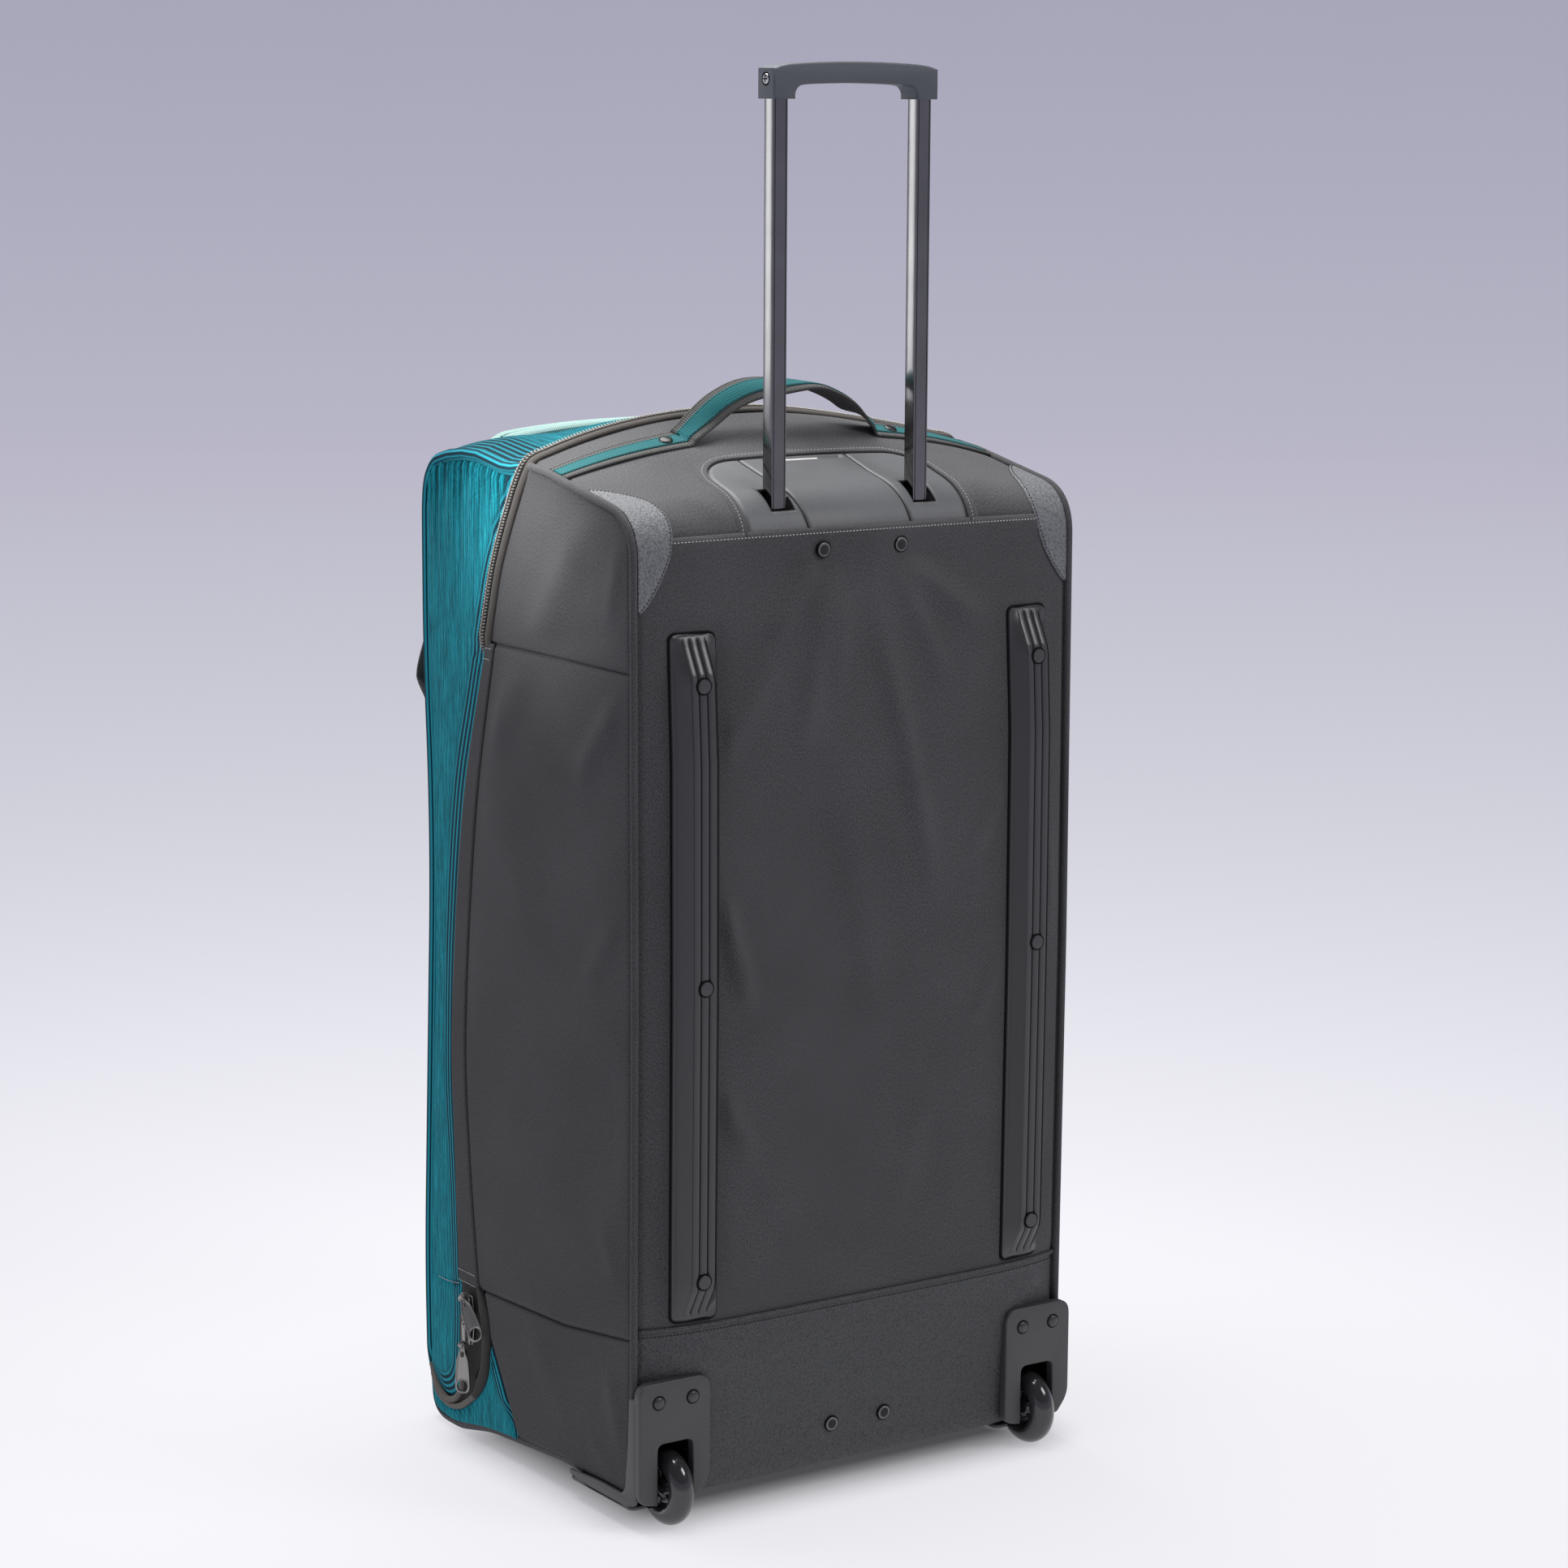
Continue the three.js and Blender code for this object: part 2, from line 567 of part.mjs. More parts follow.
const tail = tailLine();
const tailBack = beside(tail, -TAIL.width / 2);
const tailFront = beside(tail, TAIL.width / 2);
const tailBehind = beside(tail, -TAIL.width / 2 - GAP);
const tailAhead = beside(tail, TAIL.width / 2 + GAP);
for (const { side, name } of SIDES) {
  const zipBehind = shifted(zipLine, -ZIP_WIDTH / 2 - GAP, LINE_STEPS);
  const upper = [...insetLine(sideSeam + GAP, PLACE.zipBack - 2, PIPED, 22), ...zipBehind.slice(1)];
  upper.at(-1).y += GAP;
  add(`side_upper_${name}`, sidePanel(side, upper), greyCloth);

  const lowest = station(-4, seamHeight(0));
  const foldLine = shifted(flapFold, -GAP, LINE_STEPS);
  const middle = [...insetLine(lowest + GAP, sideSeam - GAP, PIPED, 6), ...foldLine];
  middle.push(...SEAM_STEPS.map((y) => new THREE.Vector2(y, seamHeight(y) + GAP)));
  add(`side_middle_${name}`, sidePanel(side, middle), greyCloth);

  const flap = [...shifted(flapFold, 0, LINE_STEPS), ...shifted(flapFront, -GAP, LINE_STEPS).reverse()];
  add(`zip_flap_${name}`, sidePanel(side, flap), greyCloth);

  const lower = insetLine(lowest - GAP, PLACE.under, PIPED, 10);
  lower.push(...insetLine(bottomEnd, toe + 8, LIDDED, 12).filter((p) => p.x < TAIL.end_y - 4));
  lower.push(...tailBehind.slice().reverse().filter((p) => p.y < seamHeight(p.x) - GAP));
  lower.push(...[TAIL.y - 8, ...SEAM_STEPS].map((y) => new THREE.Vector2(y, seamHeight(y) - GAP)));
  add(`side_lower_${name}`, cut(sidePanel(side, lower), wheelSpaces), greyCloth);

  const lidSide = shifted(zipLine, ZIP_WIDTH / 2 + GAP, LINE_STEPS).filter((p) => p.y < LID_SIDE_TOP);
  lidSide.push(...shifted(flapFront, GAP, LINE_STEPS).slice(1));
  lidSide.push(...tailAhead);
  const lidLow = station(CORNER.toe.y, TAIL.end_z + TAIL.width);
  const lidEdge = insetLine(PLACE.zipFront + 4, lidLow, LIDDED, 24);
  lidSide.push(...lidEdge.reverse().filter((p) => p.x > zipAtTop + ZIP_WIDTH / 2 + 3 * GAP));
  add(`lid_side_${name}`, sidePanel(side, lidSide, CLOTH, LID_HALF), tealCloth);

  const teeth = [
    ...shifted(zipLine, -ZIP_WIDTH / 2, LINE_STEPS),
    ...shifted(zipLine, ZIP_WIDTH / 2, LINE_STEPS).reverse(),
  ];
  add(`zip_${name}`, sidePanel(side, teeth, CLOTH + 0.4), zipTape);
  add(`zip_tail_${name}`, sidePanel(side, [...tailBack, ...tailFront.slice().reverse()]), zipTape);
}

// Piping round the back and top edges

class EdgeLine extends THREE.Curve {
  constructor(x, from, to) {
    super();
    Object.assign(this, { x, from, to });
  }

  getPoint(t, target = new THREE.Vector3()) {
    const { point } = outlineAt(THREE.MathUtils.lerp(this.from, this.to, t));
    return target.set(this.x, point.x, point.y);
  }
}

function disc(radius, sides) {
  const points = steps(0, sides - 1, sides - 1).map((i) => {
    const turn = (2 * Math.PI * i) / sides;
    return new THREE.Vector2(radius * Math.cos(turn), radius * Math.sin(turn));
  });
  return new THREE.Shape(points);
}

for (const { side, name } of SIDES) {
  const line = new EdgeLine(side * EDGE_X, station(-3, HOUSING.foot + 8), PLACE.zipBack - GAP);
  const cord = new THREE.ExtrudeGeometry(disc(PIPING_R, 6), { steps: 40, extrudePath: line });
  add(`piping_${name}`, cut(cord, housingSpace(side)), greyCloth);
}

// Grained patches on the two top back corners
const PATCH = { foot: 715, top_y: 66, wide: 33, out: 1.5, thick: 1.1 };
const patchFrom = station(-5, PATCH.foot);
const patchTo = station(PATCH.top_y, 801);
const patchInner = (place) => {
  const turn = (Math.PI * (place - patchFrom)) / (patchTo - patchFrom);
  return WRAP_HALF - 3 - (PATCH.wide - 3) * Math.sin(turn) ** 0.8;
};
for (const { side, name } of SIDES) {
  const patch = wrapPatch({
    rows: steps(patchFrom, patchTo, 12).map((place) => ({
      place, left: side * patchInner(place), right: side * WRAP_HALF,
    })),
    columns: 3,
    out: PATCH.out,
    thick: PATCH.thick,
  });
  add(`corner_patch_${name}`, patch, palePatch);
}

// Slide rails on the back, each with three rivets sunk in its ridge

const backCloth = wrapPanel({ places: backPlaces, out: GAP, thick: 30 });
const RAIL_RIVET = { r: 4.6, height: 2.2, sink: 2 };
for (const { side, name } of SIDES) {
  const ring = ({ z, half, height }) => {
    const lift = (x) => backFace(x, z) - GAP;
    const ridge = lift(RAIL_X) - height;
    const sunk = lift(RAIL_X + half) + 4;
    const foot = [-half, half].map((u) => new THREE.Vector3(side * (RAIL_X + u), sunk, z));
    const lip = Math.min(height, 2.4);
    const top = [
      { u: half, y: lift(RAIL_X + half) - lip },
      { u: RAIL_RIDGE_HALF, y: ridge },
      { u: -RAIL_RIDGE_HALF, y: ridge },
      { u: -half, y: lift(RAIL_X - half) - lip },
    ];
    return [...foot, ...top.map(({ u, y }) => new THREE.Vector3(side * (RAIL_X + u), y, z))];
  };
  const rail = loft(RAIL_SECTIONS.map(ring));
  const ridgeY = (z) => backFace(RAIL_X, z) - GAP - lookUp(RAIL_SECTIONS, z, 'z', 'height');
  const pockets = RAIL_RIVETS_Z.map((z) => {
    const r = RAIL_RIVET.r + GAP;
    const foot = new THREE.Vector3(side * RAIL_X, ridgeY(z) + RAIL_RIVET.sink + 0.3, z);
    return turned([[0, 0], [r, 0], [r, 8], [0, 8]], RIVET_SIDES, foot, BACKWARD);
  });
  add(`rail_${name}`, cut(rail, [backCloth, ...pockets]), plastic);
  RAIL_RIVETS_Z.forEach((z, i) => {
    const { r, height, sink } = RAIL_RIVET;
    const foot = new THREE.Vector3(side * RAIL_X, ridgeY(z) + sink, z);
    const rim = height - 0.6;
    const profile = [[0, 0], [r, 0], [r, rim], [r - 0.8, height], [r - 1.6, rim], [0, rim]];
    add(`rail_rivet_${name}_${i + 1}`, turned(profile, RIVET_SIDES, foot, BACKWARD), darkMetal);
  });
}

// A closed body through rings of points that match one to one
function loft(rings) {
  const count = rings[0].length;
  const points = rings.flat();
  const triangles = [];
  for (let row = 0; row + 1 < rings.length; row += 1) {
    for (let i = 0; i < count; i += 1) {
      const next = (i + 1) % count;
      const [a, b] = [row * count + i, row * count + next];
      triangles.push(a, b, b + count, a, b + count, a + count);
    }
  }
  const last = (rings.length - 1) * count;
  for (let i = 1; i + 1 < count; i += 1) {
    triangles.push(0, i + 1, i, last, last + i, last + i + 1);
  }
  return outward(points, triangles);
}

// Wheels in their housings

function housing(side) {
  const { in: inner, out, foot, top, corner, face, back, side_y: sideY } = HOUSING;
  const shape = new THREE.Shape();
  const [left, right] = [inner - WHEEL.x, out - WHEEL.x];
  shape.moveTo(left, foot);
  shape.lineTo(-WELL.half, foot);
  shape.lineTo(-WELL.half, WELL.top - 6);
  shape.quadraticCurveTo(-WELL.half, WELL.top, -WELL.half + 6, WELL.top);
  shape.lineTo(WELL.half - 6, WELL.top);
  shape.quadraticCurveTo(WELL.half, WELL.top, WELL.half, WELL.top - 6);
  shape.lineTo(WELL.half, foot);
  shape.lineTo(right, foot);
  shape.lineTo(right, top - corner);
  shape.quadraticCurveTo(right, top, right - corner, top);
  shape.lineTo(left + corner, top);
  shape.quadraticCurveTo(left, top, left, top - corner);
  const flat = { depth: back - face, bevelEnabled: false, curveSegments: 4 };
  const plateBody = new THREE.ExtrudeGeometry(shape, flat);
  const upright = new THREE.Matrix4().makeBasis(
    new THREE.Vector3(side, 0, 0), new THREE.Vector3(0, 0, 1), new THREE.Vector3(0, -side, 0));
  plateBody.applyMatrix4(upright).translate(side * WHEEL.x, side > 0 ? back : face, 0);
  const deep = WELL.deep + WELL.wall;
  const [cheekIn, cheekOut] = [WHEEL.x - WELL.half, WHEEL.x + WELL.half];
  const walls = [
    sideBox(side, cheekIn - WELL.wall, cheekIn, back - 1, deep, foot - 3, WELL.top + WELL.wall),
    sideBox(side, cheekOut, cheekOut + WELL.wall, back - 1, deep, foot - 3, WELL.top + WELL.wall),
    sideBox(side, cheekIn - 1, cheekOut + 1, back - 1, deep, WELL.top, WELL.top + WELL.wall),
    sideBox(side, cheekIn - 1, cheekOut + 1, WELL.deep, deep, foot - 3, WELL.top + 1),
    sideBox(side, SIDE_OUT + GAP, out, back - 1, sideY, foot, top - corner),
    sideBox(side, inner, cheekIn, back - 1, WELL.flange_y, foot - 2, foot + 1),
    sideBox(side, cheekOut, out, back - 1, WELL.flange_y, foot - 2, foot + 1),
    sideBox(side, cheekIn - 1, cheekOut + 1, WELL.deep, WELL.flange_y, foot - 2, foot + 1),
  ];
  const bore = turned(
    [[0, 0], [AXLE_R + 0.3, 0], [AXLE_R + 0.3, 60], [0, 60]],
    RIVET_SIDES,
    new THREE.Vector3(side * WHEEL.x - 30, WHEEL.y, WHEEL.r),
    ALONG_X,
  );
  return cut(join([plateBody, ...walls]), [bore]);
}

const TYRE_ROUND = steps(-90, 90, 6).map((deg) => THREE.MathUtils.degToRad(deg));
for (const { side, name } of SIDES) {
  add(`wheel_housing_${name}`, housing(side), plastic);
  for (const { place, x, z } of HOUSING_RIVETS) {
    const foot = new THREE.Vector3(side * (WHEEL.x + x), HOUSING.face - GAP, z);
    const profile = [[0, 0], [5, 0], [5, 1], [3.6, 2.2], [0, 2.5]];
    add(`housing_rivet_${name}_${place}`, turned(profile, 10, foot, BACKWARD), darkMetal);
  }
  const half = WHEEL.width / 2;
  const round = TYRE_ROUND.map((a) => [WHEEL.r - half + half * Math.cos(a), half * Math.sin(a)]);
  const hub = [[WHEEL.bore, HUB.half], [HUB.r, HUB.half], [HUB.flank, half]];
  const farHub = hub.map(([r, h]) => [r, -h]);
  const profile = [...farHub, ...round, ...hub.slice().reverse(), farHub[0]];
  const centre = new THREE.Vector3(side * WHEEL.x, WHEEL.y, WHEEL.r);
  add(`wheel_${name}`, turned(profile, WHEEL.sides, centre, ALONG_X), tyre);
  const reach = WELL.half + WELL.wall;
  const axle = turned(
    [[0, -reach], [AXLE_R, -reach], [AXLE_R, reach], [0, reach]], RIVET_SIDES, centre, ALONG_X);
  add(`axle_${name}`, axle, darkMetal);
}

// Trolley: guide tubes in the bag, sliding tubes, grip

function roundedRectangle(width, depth, corner) {
  const shape = new THREE.Shape();
  const [w, d] = [width / 2, depth / 2];
  shape.moveTo(-w + corner, -d);
  shape.lineTo(w - corner, -d);
  shape.quadraticCurveTo(w, -d, w, -d + corner);
  shape.lineTo(w, d - corner);
  shape.quadraticCurveTo(w, d, w - corner, d);
  shape.lineTo(-w + corner, d);
  shape.quadraticCurveTo(-w, d, -w, d - corner);
  shape.lineTo(-w, -d + corner);
  shape.quadraticCurveTo(-w, -d, -w + corner, -d);
  return shape;
}

function tube(x, outerSize, innerSize, from, to) {
  const shape = roundedRectangle(...outerSize);
  shape.holes.push(roundedRectangle(...innerSize));
  const along = { depth: to - from, bevelEnabled: false, curveSegments: 3 };
  const geometry = new THREE.ExtrudeGeometry(shape, along);
  return geometry.translate(x, TUBE_Y, from);
}

const guideBore = [TUBE.width + 2 * GUIDE.clear, TUBE.depth + 2 * GUIDE.clear, TUBE.corner];
const guides = SIDES.map(({ side }) =>
  tube(side * TUBE_X, [GUIDE.width, GUIDE.depth, GUIDE.corner], guideBore, GUIDE.foot, GUIDE.top));
const guideFace = TUBE_Y - GUIDE.depth / 2;
const bracketEnd = TUBE_X + GUIDE.width / 2;
const brackets = BRACKETS.map(({ foot, top }) =>
  box(-bracketEnd, bracketEnd, FRAME_FACE_Y, guideFace + 0.6, foot, top));
add('trolley_frame', join([...guides, ...brackets]), darkMetal);

for (const { name, x, z } of panelRivets) {
  const foot = new THREE.Vector3(x, FRAME_FACE_Y - 0.3, z);
  const seat = foot.y - backFace(x, z) + 2 * GAP;
  const { head, height, shank } = RIVET;
  const profile = [
    [0, 0], [shank, 0], [shank, seat], [head, seat],
    [head, seat + height * 0.6], [head - 0.9, seat + height],
    [head - 1.8, seat + height * 0.5], [0, seat + height * 0.5],
  ];
  add(name, turned(profile, RIVET_SIDES, foot, BACKWARD), darkMetal);
}

for (const { side, name } of SIDES) {
  const bore = [TUBE.width - 2 * TUBE.wall, TUBE.depth - 2 * TUBE.wall, TUBE.corner / 2];
  const geometry = tube(side * TUBE_X, [TUBE.width, TUBE.depth, TUBE.corner], bore, TUBE.foot, GRIP.foot - 0.3);
  add(`handle_tube_${name}`, geometry, chrome);
}

function grip() {
  const { half, leg, foot, top, arch, bar, depth } = GRIP;
  const bevel = 2;
  const [out, low] = [half - bevel, foot + bevel];
  const inner = half - leg + bevel;
  const under = top - bar + bevel;
  const shape = new THREE.Shape();
  shape.moveTo(-out, low);
  shape.lineTo(-inner, low);
  shape.lineTo(-inner, under - 8);
  shape.quadraticCurveTo(-inner, under, -inner + 10, under);
  shape.quadraticCurveTo(0, under + arch, inner - 10, under);
  shape.quadraticCurveTo(inner, under, inner, under - 8);
  shape.lineTo(inner, low);
  shape.lineTo(out, low);
  shape.lineTo(out, top - 6);
  shape.quadraticCurveTo(out, top - bevel, out - 5, top - bevel);
  shape.quadraticCurveTo(0, top - bevel + 2 * arch, -out + 5, top - bevel);
  shape.quadraticCurveTo(-out, top - bevel, -out, top - 6);
  const geometry = new THREE.ExtrudeGeometry(shape, {
    depth: depth - 2 * bevel, bevelThickness: bevel, bevelSize: bevel, bevelSegments: 2, curveSegments: 5,
  });
  const upright = new THREE.Matrix4().makeBasis(
    new THREE.Vector3(1, 0, 0), new THREE.Vector3(0, 0, 1), new THREE.Vector3(0, -1, 0));
  return geometry.applyMatrix4(upright).translate(0, TUBE_Y + depth / 2 - bevel, 0);
}
add('handle_grip', grip(), plastic);

// Carrying straps

const strapPlace = station(STRAP.y, 809);
const strapLine = steps(-STRAP.end, STRAP.end, 28);
const strapRow = (level) => strapLine.map((x) => {
  const lift = lookUp(STRAP_ARCH, Math.abs(x), 'x', 'lift');
  const share = THREE.MathUtils.smoothstep(lift, 2, 20);
  const half = THREE.MathUtils.lerp(STRAP.width, STRAP.grip, share) / 2;
  return [-half, 0, half].map((dy) => {
    const ground = wrapPoint(strapPlace + dy, x, GAP + level);
    return ground.add(new THREE.Vector3(0, 0, lift));
  });
});
add('top_handle', wall(strapRow(STRAP.thick), strapRow(0)), webbing);
for (const { side, name } of SIDES) {
  const ground = wrapPoint(strapPlace, side * STRAP.rivet_x, STRAP.thick + 4 * GAP);
  const profile = [[0, 0], [5.6, 0], [5.6, 1.2], [4.4, 2], [0, 2]];
  const { normal } = outlineAt(strapPlace);
  const up = new THREE.Vector3(0, normal.x, normal.y);
  add(`strap_rivet_${name}`, turned(profile, RIVET_SIDES, ground, up), darkMetal);
}

const frontHeights = steps(FRONT_ARCH[0].z, FRONT_ARCH.at(-1).z, 24);
const frontRow = (level) => frontHeights.map((z) => {
  const place = station(CORNER.lid.y, z);
  const lift = lookUp(FRONT_ARCH, z, 'z', 'lift');
  return [-1, 1].map((edge) => {
    const x = FRONT_STRAP.x + (edge * FRONT_STRAP.width) / 2;
    return wrapPoint(place, x, GAP + lift + level, LID_HALF, LID_SHOULDER);
  });
});
add('front_handle', wall(frontRow(FRONT_STRAP.thick), frontRow(0)), webbing);

// Zip sliders and their pulls on the left side, each pull hinged on a bar between its slider's ears

// A round bar across a pull, at the height of its hinge
const crossBar = (r, length) =>
  new THREE.CylinderGeometry(r, r, length, RIVET_SIDES).rotateZ(Math.PI / 2)
    .translate(0, 0, -SLIDER.thick - SLIDER.pivot);

function sliderBody(middle, lean) {
  const { width, height, thick, ear, bar, pivot } = SLIDER;
  const half = width / 2;
  const shape = new THREE.Shape([
    [-half, height * 0.25], [-half * 0.6, height / 2], [half * 0.6, height / 2], [half, height * 0.25],
    [half * 0.7, -height / 2], [-half * 0.7, -height / 2],
  ].map(([u, v]) => new THREE.Vector2(u, v)));
  const plateBody = new THREE.ExtrudeGeometry(shape, { depth: thick, bevelEnabled: false });
  const clear = PULL.neck / 2 + GAP;
  const ears = [clear, -clear - ear].map((u) => box(u, u + ear, -2, 2, -thick - pivot - 2, -thick + 0.5));
  const hinge = join([...ears, crossBar(bar, 2 * clear + ear)]).rotateZ(lean);
  return join([plateBody.translate(0, middle, -thick), hinge]);
}

function pullPlate(lean) {
  const { width, length, thick, hole, knuckle, bore, neck } = PULL;
  const half = width / 2;
  const shape = new THREE.Shape();
  shape.moveTo(neck / 2, 0);
  shape.lineTo(-neck / 2, 0);
  shape.lineTo(-neck / 2, -5);
  shape.lineTo(-half, -9);
  shape.lineTo(-half, half - length);
  shape.absarc(0, half - length, half, Math.PI, 2 * Math.PI, false);
  shape.lineTo(half, -9);
  shape.lineTo(neck / 2, -5);
  shape.holes.push(new THREE.Path().absarc(0, half - length, hole, 0, 2 * Math.PI, true));
  const flat = new THREE.ExtrudeGeometry(shape, { depth: thick, bevelEnabled: false, curveSegments: 6 });
  flat.translate(0, 0, -SLIDER.thick - SLIDER.pivot - thick / 2);
  return cut(join([flat, crossBar(knuckle, neck)]), [crossBar(bore, 2 * neck)]).rotateZ(lean);
}

for (const { name, z, lean, slider_z: sliderZ } of PULLS) {
  const turn = THREE.MathUtils.degToRad(-lean);
  const seat = (geometry) => geometry.applyMatrix4(onSide).translate(-SIDE_OUT - GAP, SLIDER.y, z);
  add(`zip_slider_${name}`, seat(sliderBody(sliderZ - z, turn)), darkMetal);
  add(`zip_pull_${name}`, seat(pullPlate(turn)), darkMetal);
}

// The origin is on the floor below the middle of the whole part
const bounds = new THREE.Box3().setFromObject(bagGroup);
bagGroup.position.y = -Math.round((bounds.min.y + bounds.max.y) / 2);

export default bagGroup;
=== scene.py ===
import math

import bmesh
import bpy
import numpy as np
from mathutils import Matrix


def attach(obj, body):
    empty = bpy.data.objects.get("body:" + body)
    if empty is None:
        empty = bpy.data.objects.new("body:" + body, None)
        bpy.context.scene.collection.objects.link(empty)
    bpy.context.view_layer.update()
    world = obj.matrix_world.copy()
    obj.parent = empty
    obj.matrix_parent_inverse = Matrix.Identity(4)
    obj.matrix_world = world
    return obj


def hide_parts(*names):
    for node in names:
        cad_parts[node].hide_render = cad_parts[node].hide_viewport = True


# A wheeled travel bag: the looks of its sewn panels, zips, rails, wheels and trolley handle.
# Lengths are in millimetres in the bag's own measure, and become metres when a mesh is made.

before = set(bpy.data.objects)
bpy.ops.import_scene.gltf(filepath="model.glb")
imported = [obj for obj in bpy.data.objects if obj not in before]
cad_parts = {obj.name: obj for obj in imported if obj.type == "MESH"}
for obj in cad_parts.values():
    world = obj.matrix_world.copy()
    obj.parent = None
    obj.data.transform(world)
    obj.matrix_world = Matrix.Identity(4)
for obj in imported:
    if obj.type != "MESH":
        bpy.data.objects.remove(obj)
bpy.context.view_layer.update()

MM = 0.001
SHIFT_Y = -156.0
INSIDE = np.array([0.0, -SHIFT_Y, 420.0])

# Driving dimensions

EDGE_X = 205.0
PIPING_R = 3.0
GAP = 0.4
SIDE_OUT = 206.0
WRAP_HALF = EDGE_X - PIPING_R - GAP
LID_HALF = 205.0
LID_SHOULDER = 8.0
ZIP_WIDTH = 11.0
RAIL_X = 157.8
TUBE_X = 66.5
TUBE_Y = 14.7
WHEEL_X = 176.0
WHEEL_Y = -6.0
WHEEL_R = 30.5
WELL_HALF, WELL_TOP, WELL_DEEP = 19, 73, 32
RAIL_LOW, RAIL_MIDDLE, RAIL_HIGH = 164, 431, 698
RAIL_HALF, RAIL_TALL = 19, 16.0
TAIL_Y = 247.0
SIDE_SEAM_Z = 669.0
SIDES = [(-1, "left"), (1, "right")]

# The bag seen from its side: y, z and the corner's rounding
OUTLINE = [
    (-3, 20, 14), (-6, 420, 6000), (-4, 786, 42), (152, 817, 14), (317, 807, 30), (317, 650, 1600),
    (308, 500, 1600), (324, 140, 1600), (321, 0, 28), (274, 0, 60), (225, 11, 200), (110, 20, 200),
]
# How far the panels swell: y, z, height, and flatness to the left and to the right
SWELL = [
    (-3, 26, 8, 6, 6), (-5, 130, 13, 6, 6), (-5, 600, 14, 6, 6), (-5, 700, 9, 4, 4), (-4, 745, 3, 3, 3),
    (12, 783, 7, 2.5, 2.5), (45, 797, 12, 2.5, 2.5), (75, 803, 18, 2.5, 2.5), (116, 810, 28, 2.5, 2.5),
    (152, 817, 32, 2.5, 1.4), (235, 812, 27, 2.5, 1.6), (296, 808, 16, 3, 2), (317, 740, 12, 4, 4),
    (323, 120, 11, 4, 4), (316, 6, 0, 4, 4), (10, 20, 0, 4, 4),
]
# Lines on the side: y and z
ZIP_LINE = [(160, 800), (181, 762), (196, 730), (207, 695), (214, 669)]
FLAP_FRONT = [(214, 669), (254, 527), (274, 350), (271, 241), (266, 134)]
FLAP_FOLD = [(200, 669), (232, 527), (251, 350), (246, 241), (233, 134)]
LOWER_SEAM = [(0, 151), (98, 138), (272, 131)]
WEDGE = np.array([(171, 21), (217, 97)], float)
ZIP_END_INNER = [
    (316, 48), (304, 34), (291, 27), (282, 27.5), (272, 33), (265, 44), (263.5, 58), (262, 90), (263, 120),
    (265, 136),
]
ZIP_END_OUTER = [
    (317, 37), (307, 25.5), (294, 19.5), (280, 18), (265, 21.7), (253, 28.6), (238, 39.4), (227, 51),
    (220, 64), (217.5, 79), (216, 96), (219, 112), (226, 127), (232, 136),
]
# Heights along a line: of the straps above the cloth, and of the lid's top edge
STRAP_ARCH = [(0, 37), (30, 35), (56, 26), (76, 13), (90, 3), (99, 0), (203, 0)]
FRONT_ARCH = [(706, 0), (682, 0), (666, 5), (640, 19.5), (629, 24), (622, 22.5), (603, 5), (594, 0), (572, 0)]
LID_RISE = np.array([
    (150, -2), (175, -4), (190, -3), (212, 2), (228, 5.5), (250, 7), (275, 5.5), (297, 1.5), (308, -2),
    (318, -3),
], float).T


# Curves and surfaces

def unit(v):
    v = np.asarray(v, float)
    return v / np.maximum(np.linalg.norm(v, axis=-1, keepdims=True), 1e-9)


def smoothstep(low, high, value):
    t = np.clip((value - low) / (high - low), 0, 1)
    return t * t * (3 - 2 * t)


def lengths(points):
    points = np.asarray(points, float)
    return np.concatenate([[0], np.cumsum(np.linalg.norm(np.diff(points, axis=0), axis=1))])


def rows_at(places, along, points):
    """Points at places that are measured along a line."""
    return np.stack([np.interp(places, along, points[:, k]) for k in range(points.shape[1])], -1)


def resample(points, count):
    points = np.asarray(points, float)
    along = lengths(points)
    return rows_at(np.linspace(0, along[-1], count), along, points)


def corner_curve(start, corner, end, t):
    return (1 - t)**2 * start + 2 * t * (1 - t) * corner + t**2 * end


def at_x(x, line):
    """Points of a line (y, z) on the plane at x."""
    return np.stack([np.full(len(line), x), line[:, 0], line[:, 1]], -1)


def spline(points, count):
    """A smooth curve through points, evenly spaced."""
    p = np.asarray(points, float)
    padded = np.vstack([2 * p[0] - p[1], p, 2 * p[-1] - p[-2]])
    t = np.linspace(0, 1, 24, endpoint=False)[:, None]
    parts = []
    for i in range(len(p) - 1):
        a, b, c, d = padded[i:i + 4]
        parts.append(0.5 * (2 * b + (c - a) * t + (2 * a - 5 * b + 4 * c - d) * t**2
                            + (3 * b - a - 3 * c + d) * t**3))
    return resample(np.vstack(parts + [p[-1:]]), count)


def rounded_outline():
    parts = []
    t = np.linspace(0, 1, 40)[:, None]
    for i, (y, z, r) in enumerate(OUTLINE):
        here = np.array([y, z], float)
        before = unit(np.array(OUTLINE[i - 1][:2]) - here)
        after = unit(np.array(OUTLINE[(i + 1) % len(OUTLINE)][:2]) - here)
        reach = r / math.tan(math.acos(np.clip(before @ after, -1, 1)) / 2)
        parts.append(corner_curve(here + before * reach, here, here + after * reach, t))
    return resample(np.vstack(parts + [parts[0][:1]]), 8001)


LOOP = rounded_outline()
LOOP_AT = lengths(LOOP)
LOOP_LENGTH = LOOP_AT[-1]
_ahead = unit(np.roll(LOOP[:-1], -1, 0) - np.roll(LOOP[:-1], 1, 0))
LOOP_NORMAL = np.vstack([_ahead, _ahead[:1]])[:, ::-1] * np.array([-1, 1])


def station(y, z):
    """How far along the outline its point nearest to y, z lies."""
    return LOOP_AT[np.argmin(np.hypot(LOOP[:, 0] - y, LOOP[:, 1] - z))]


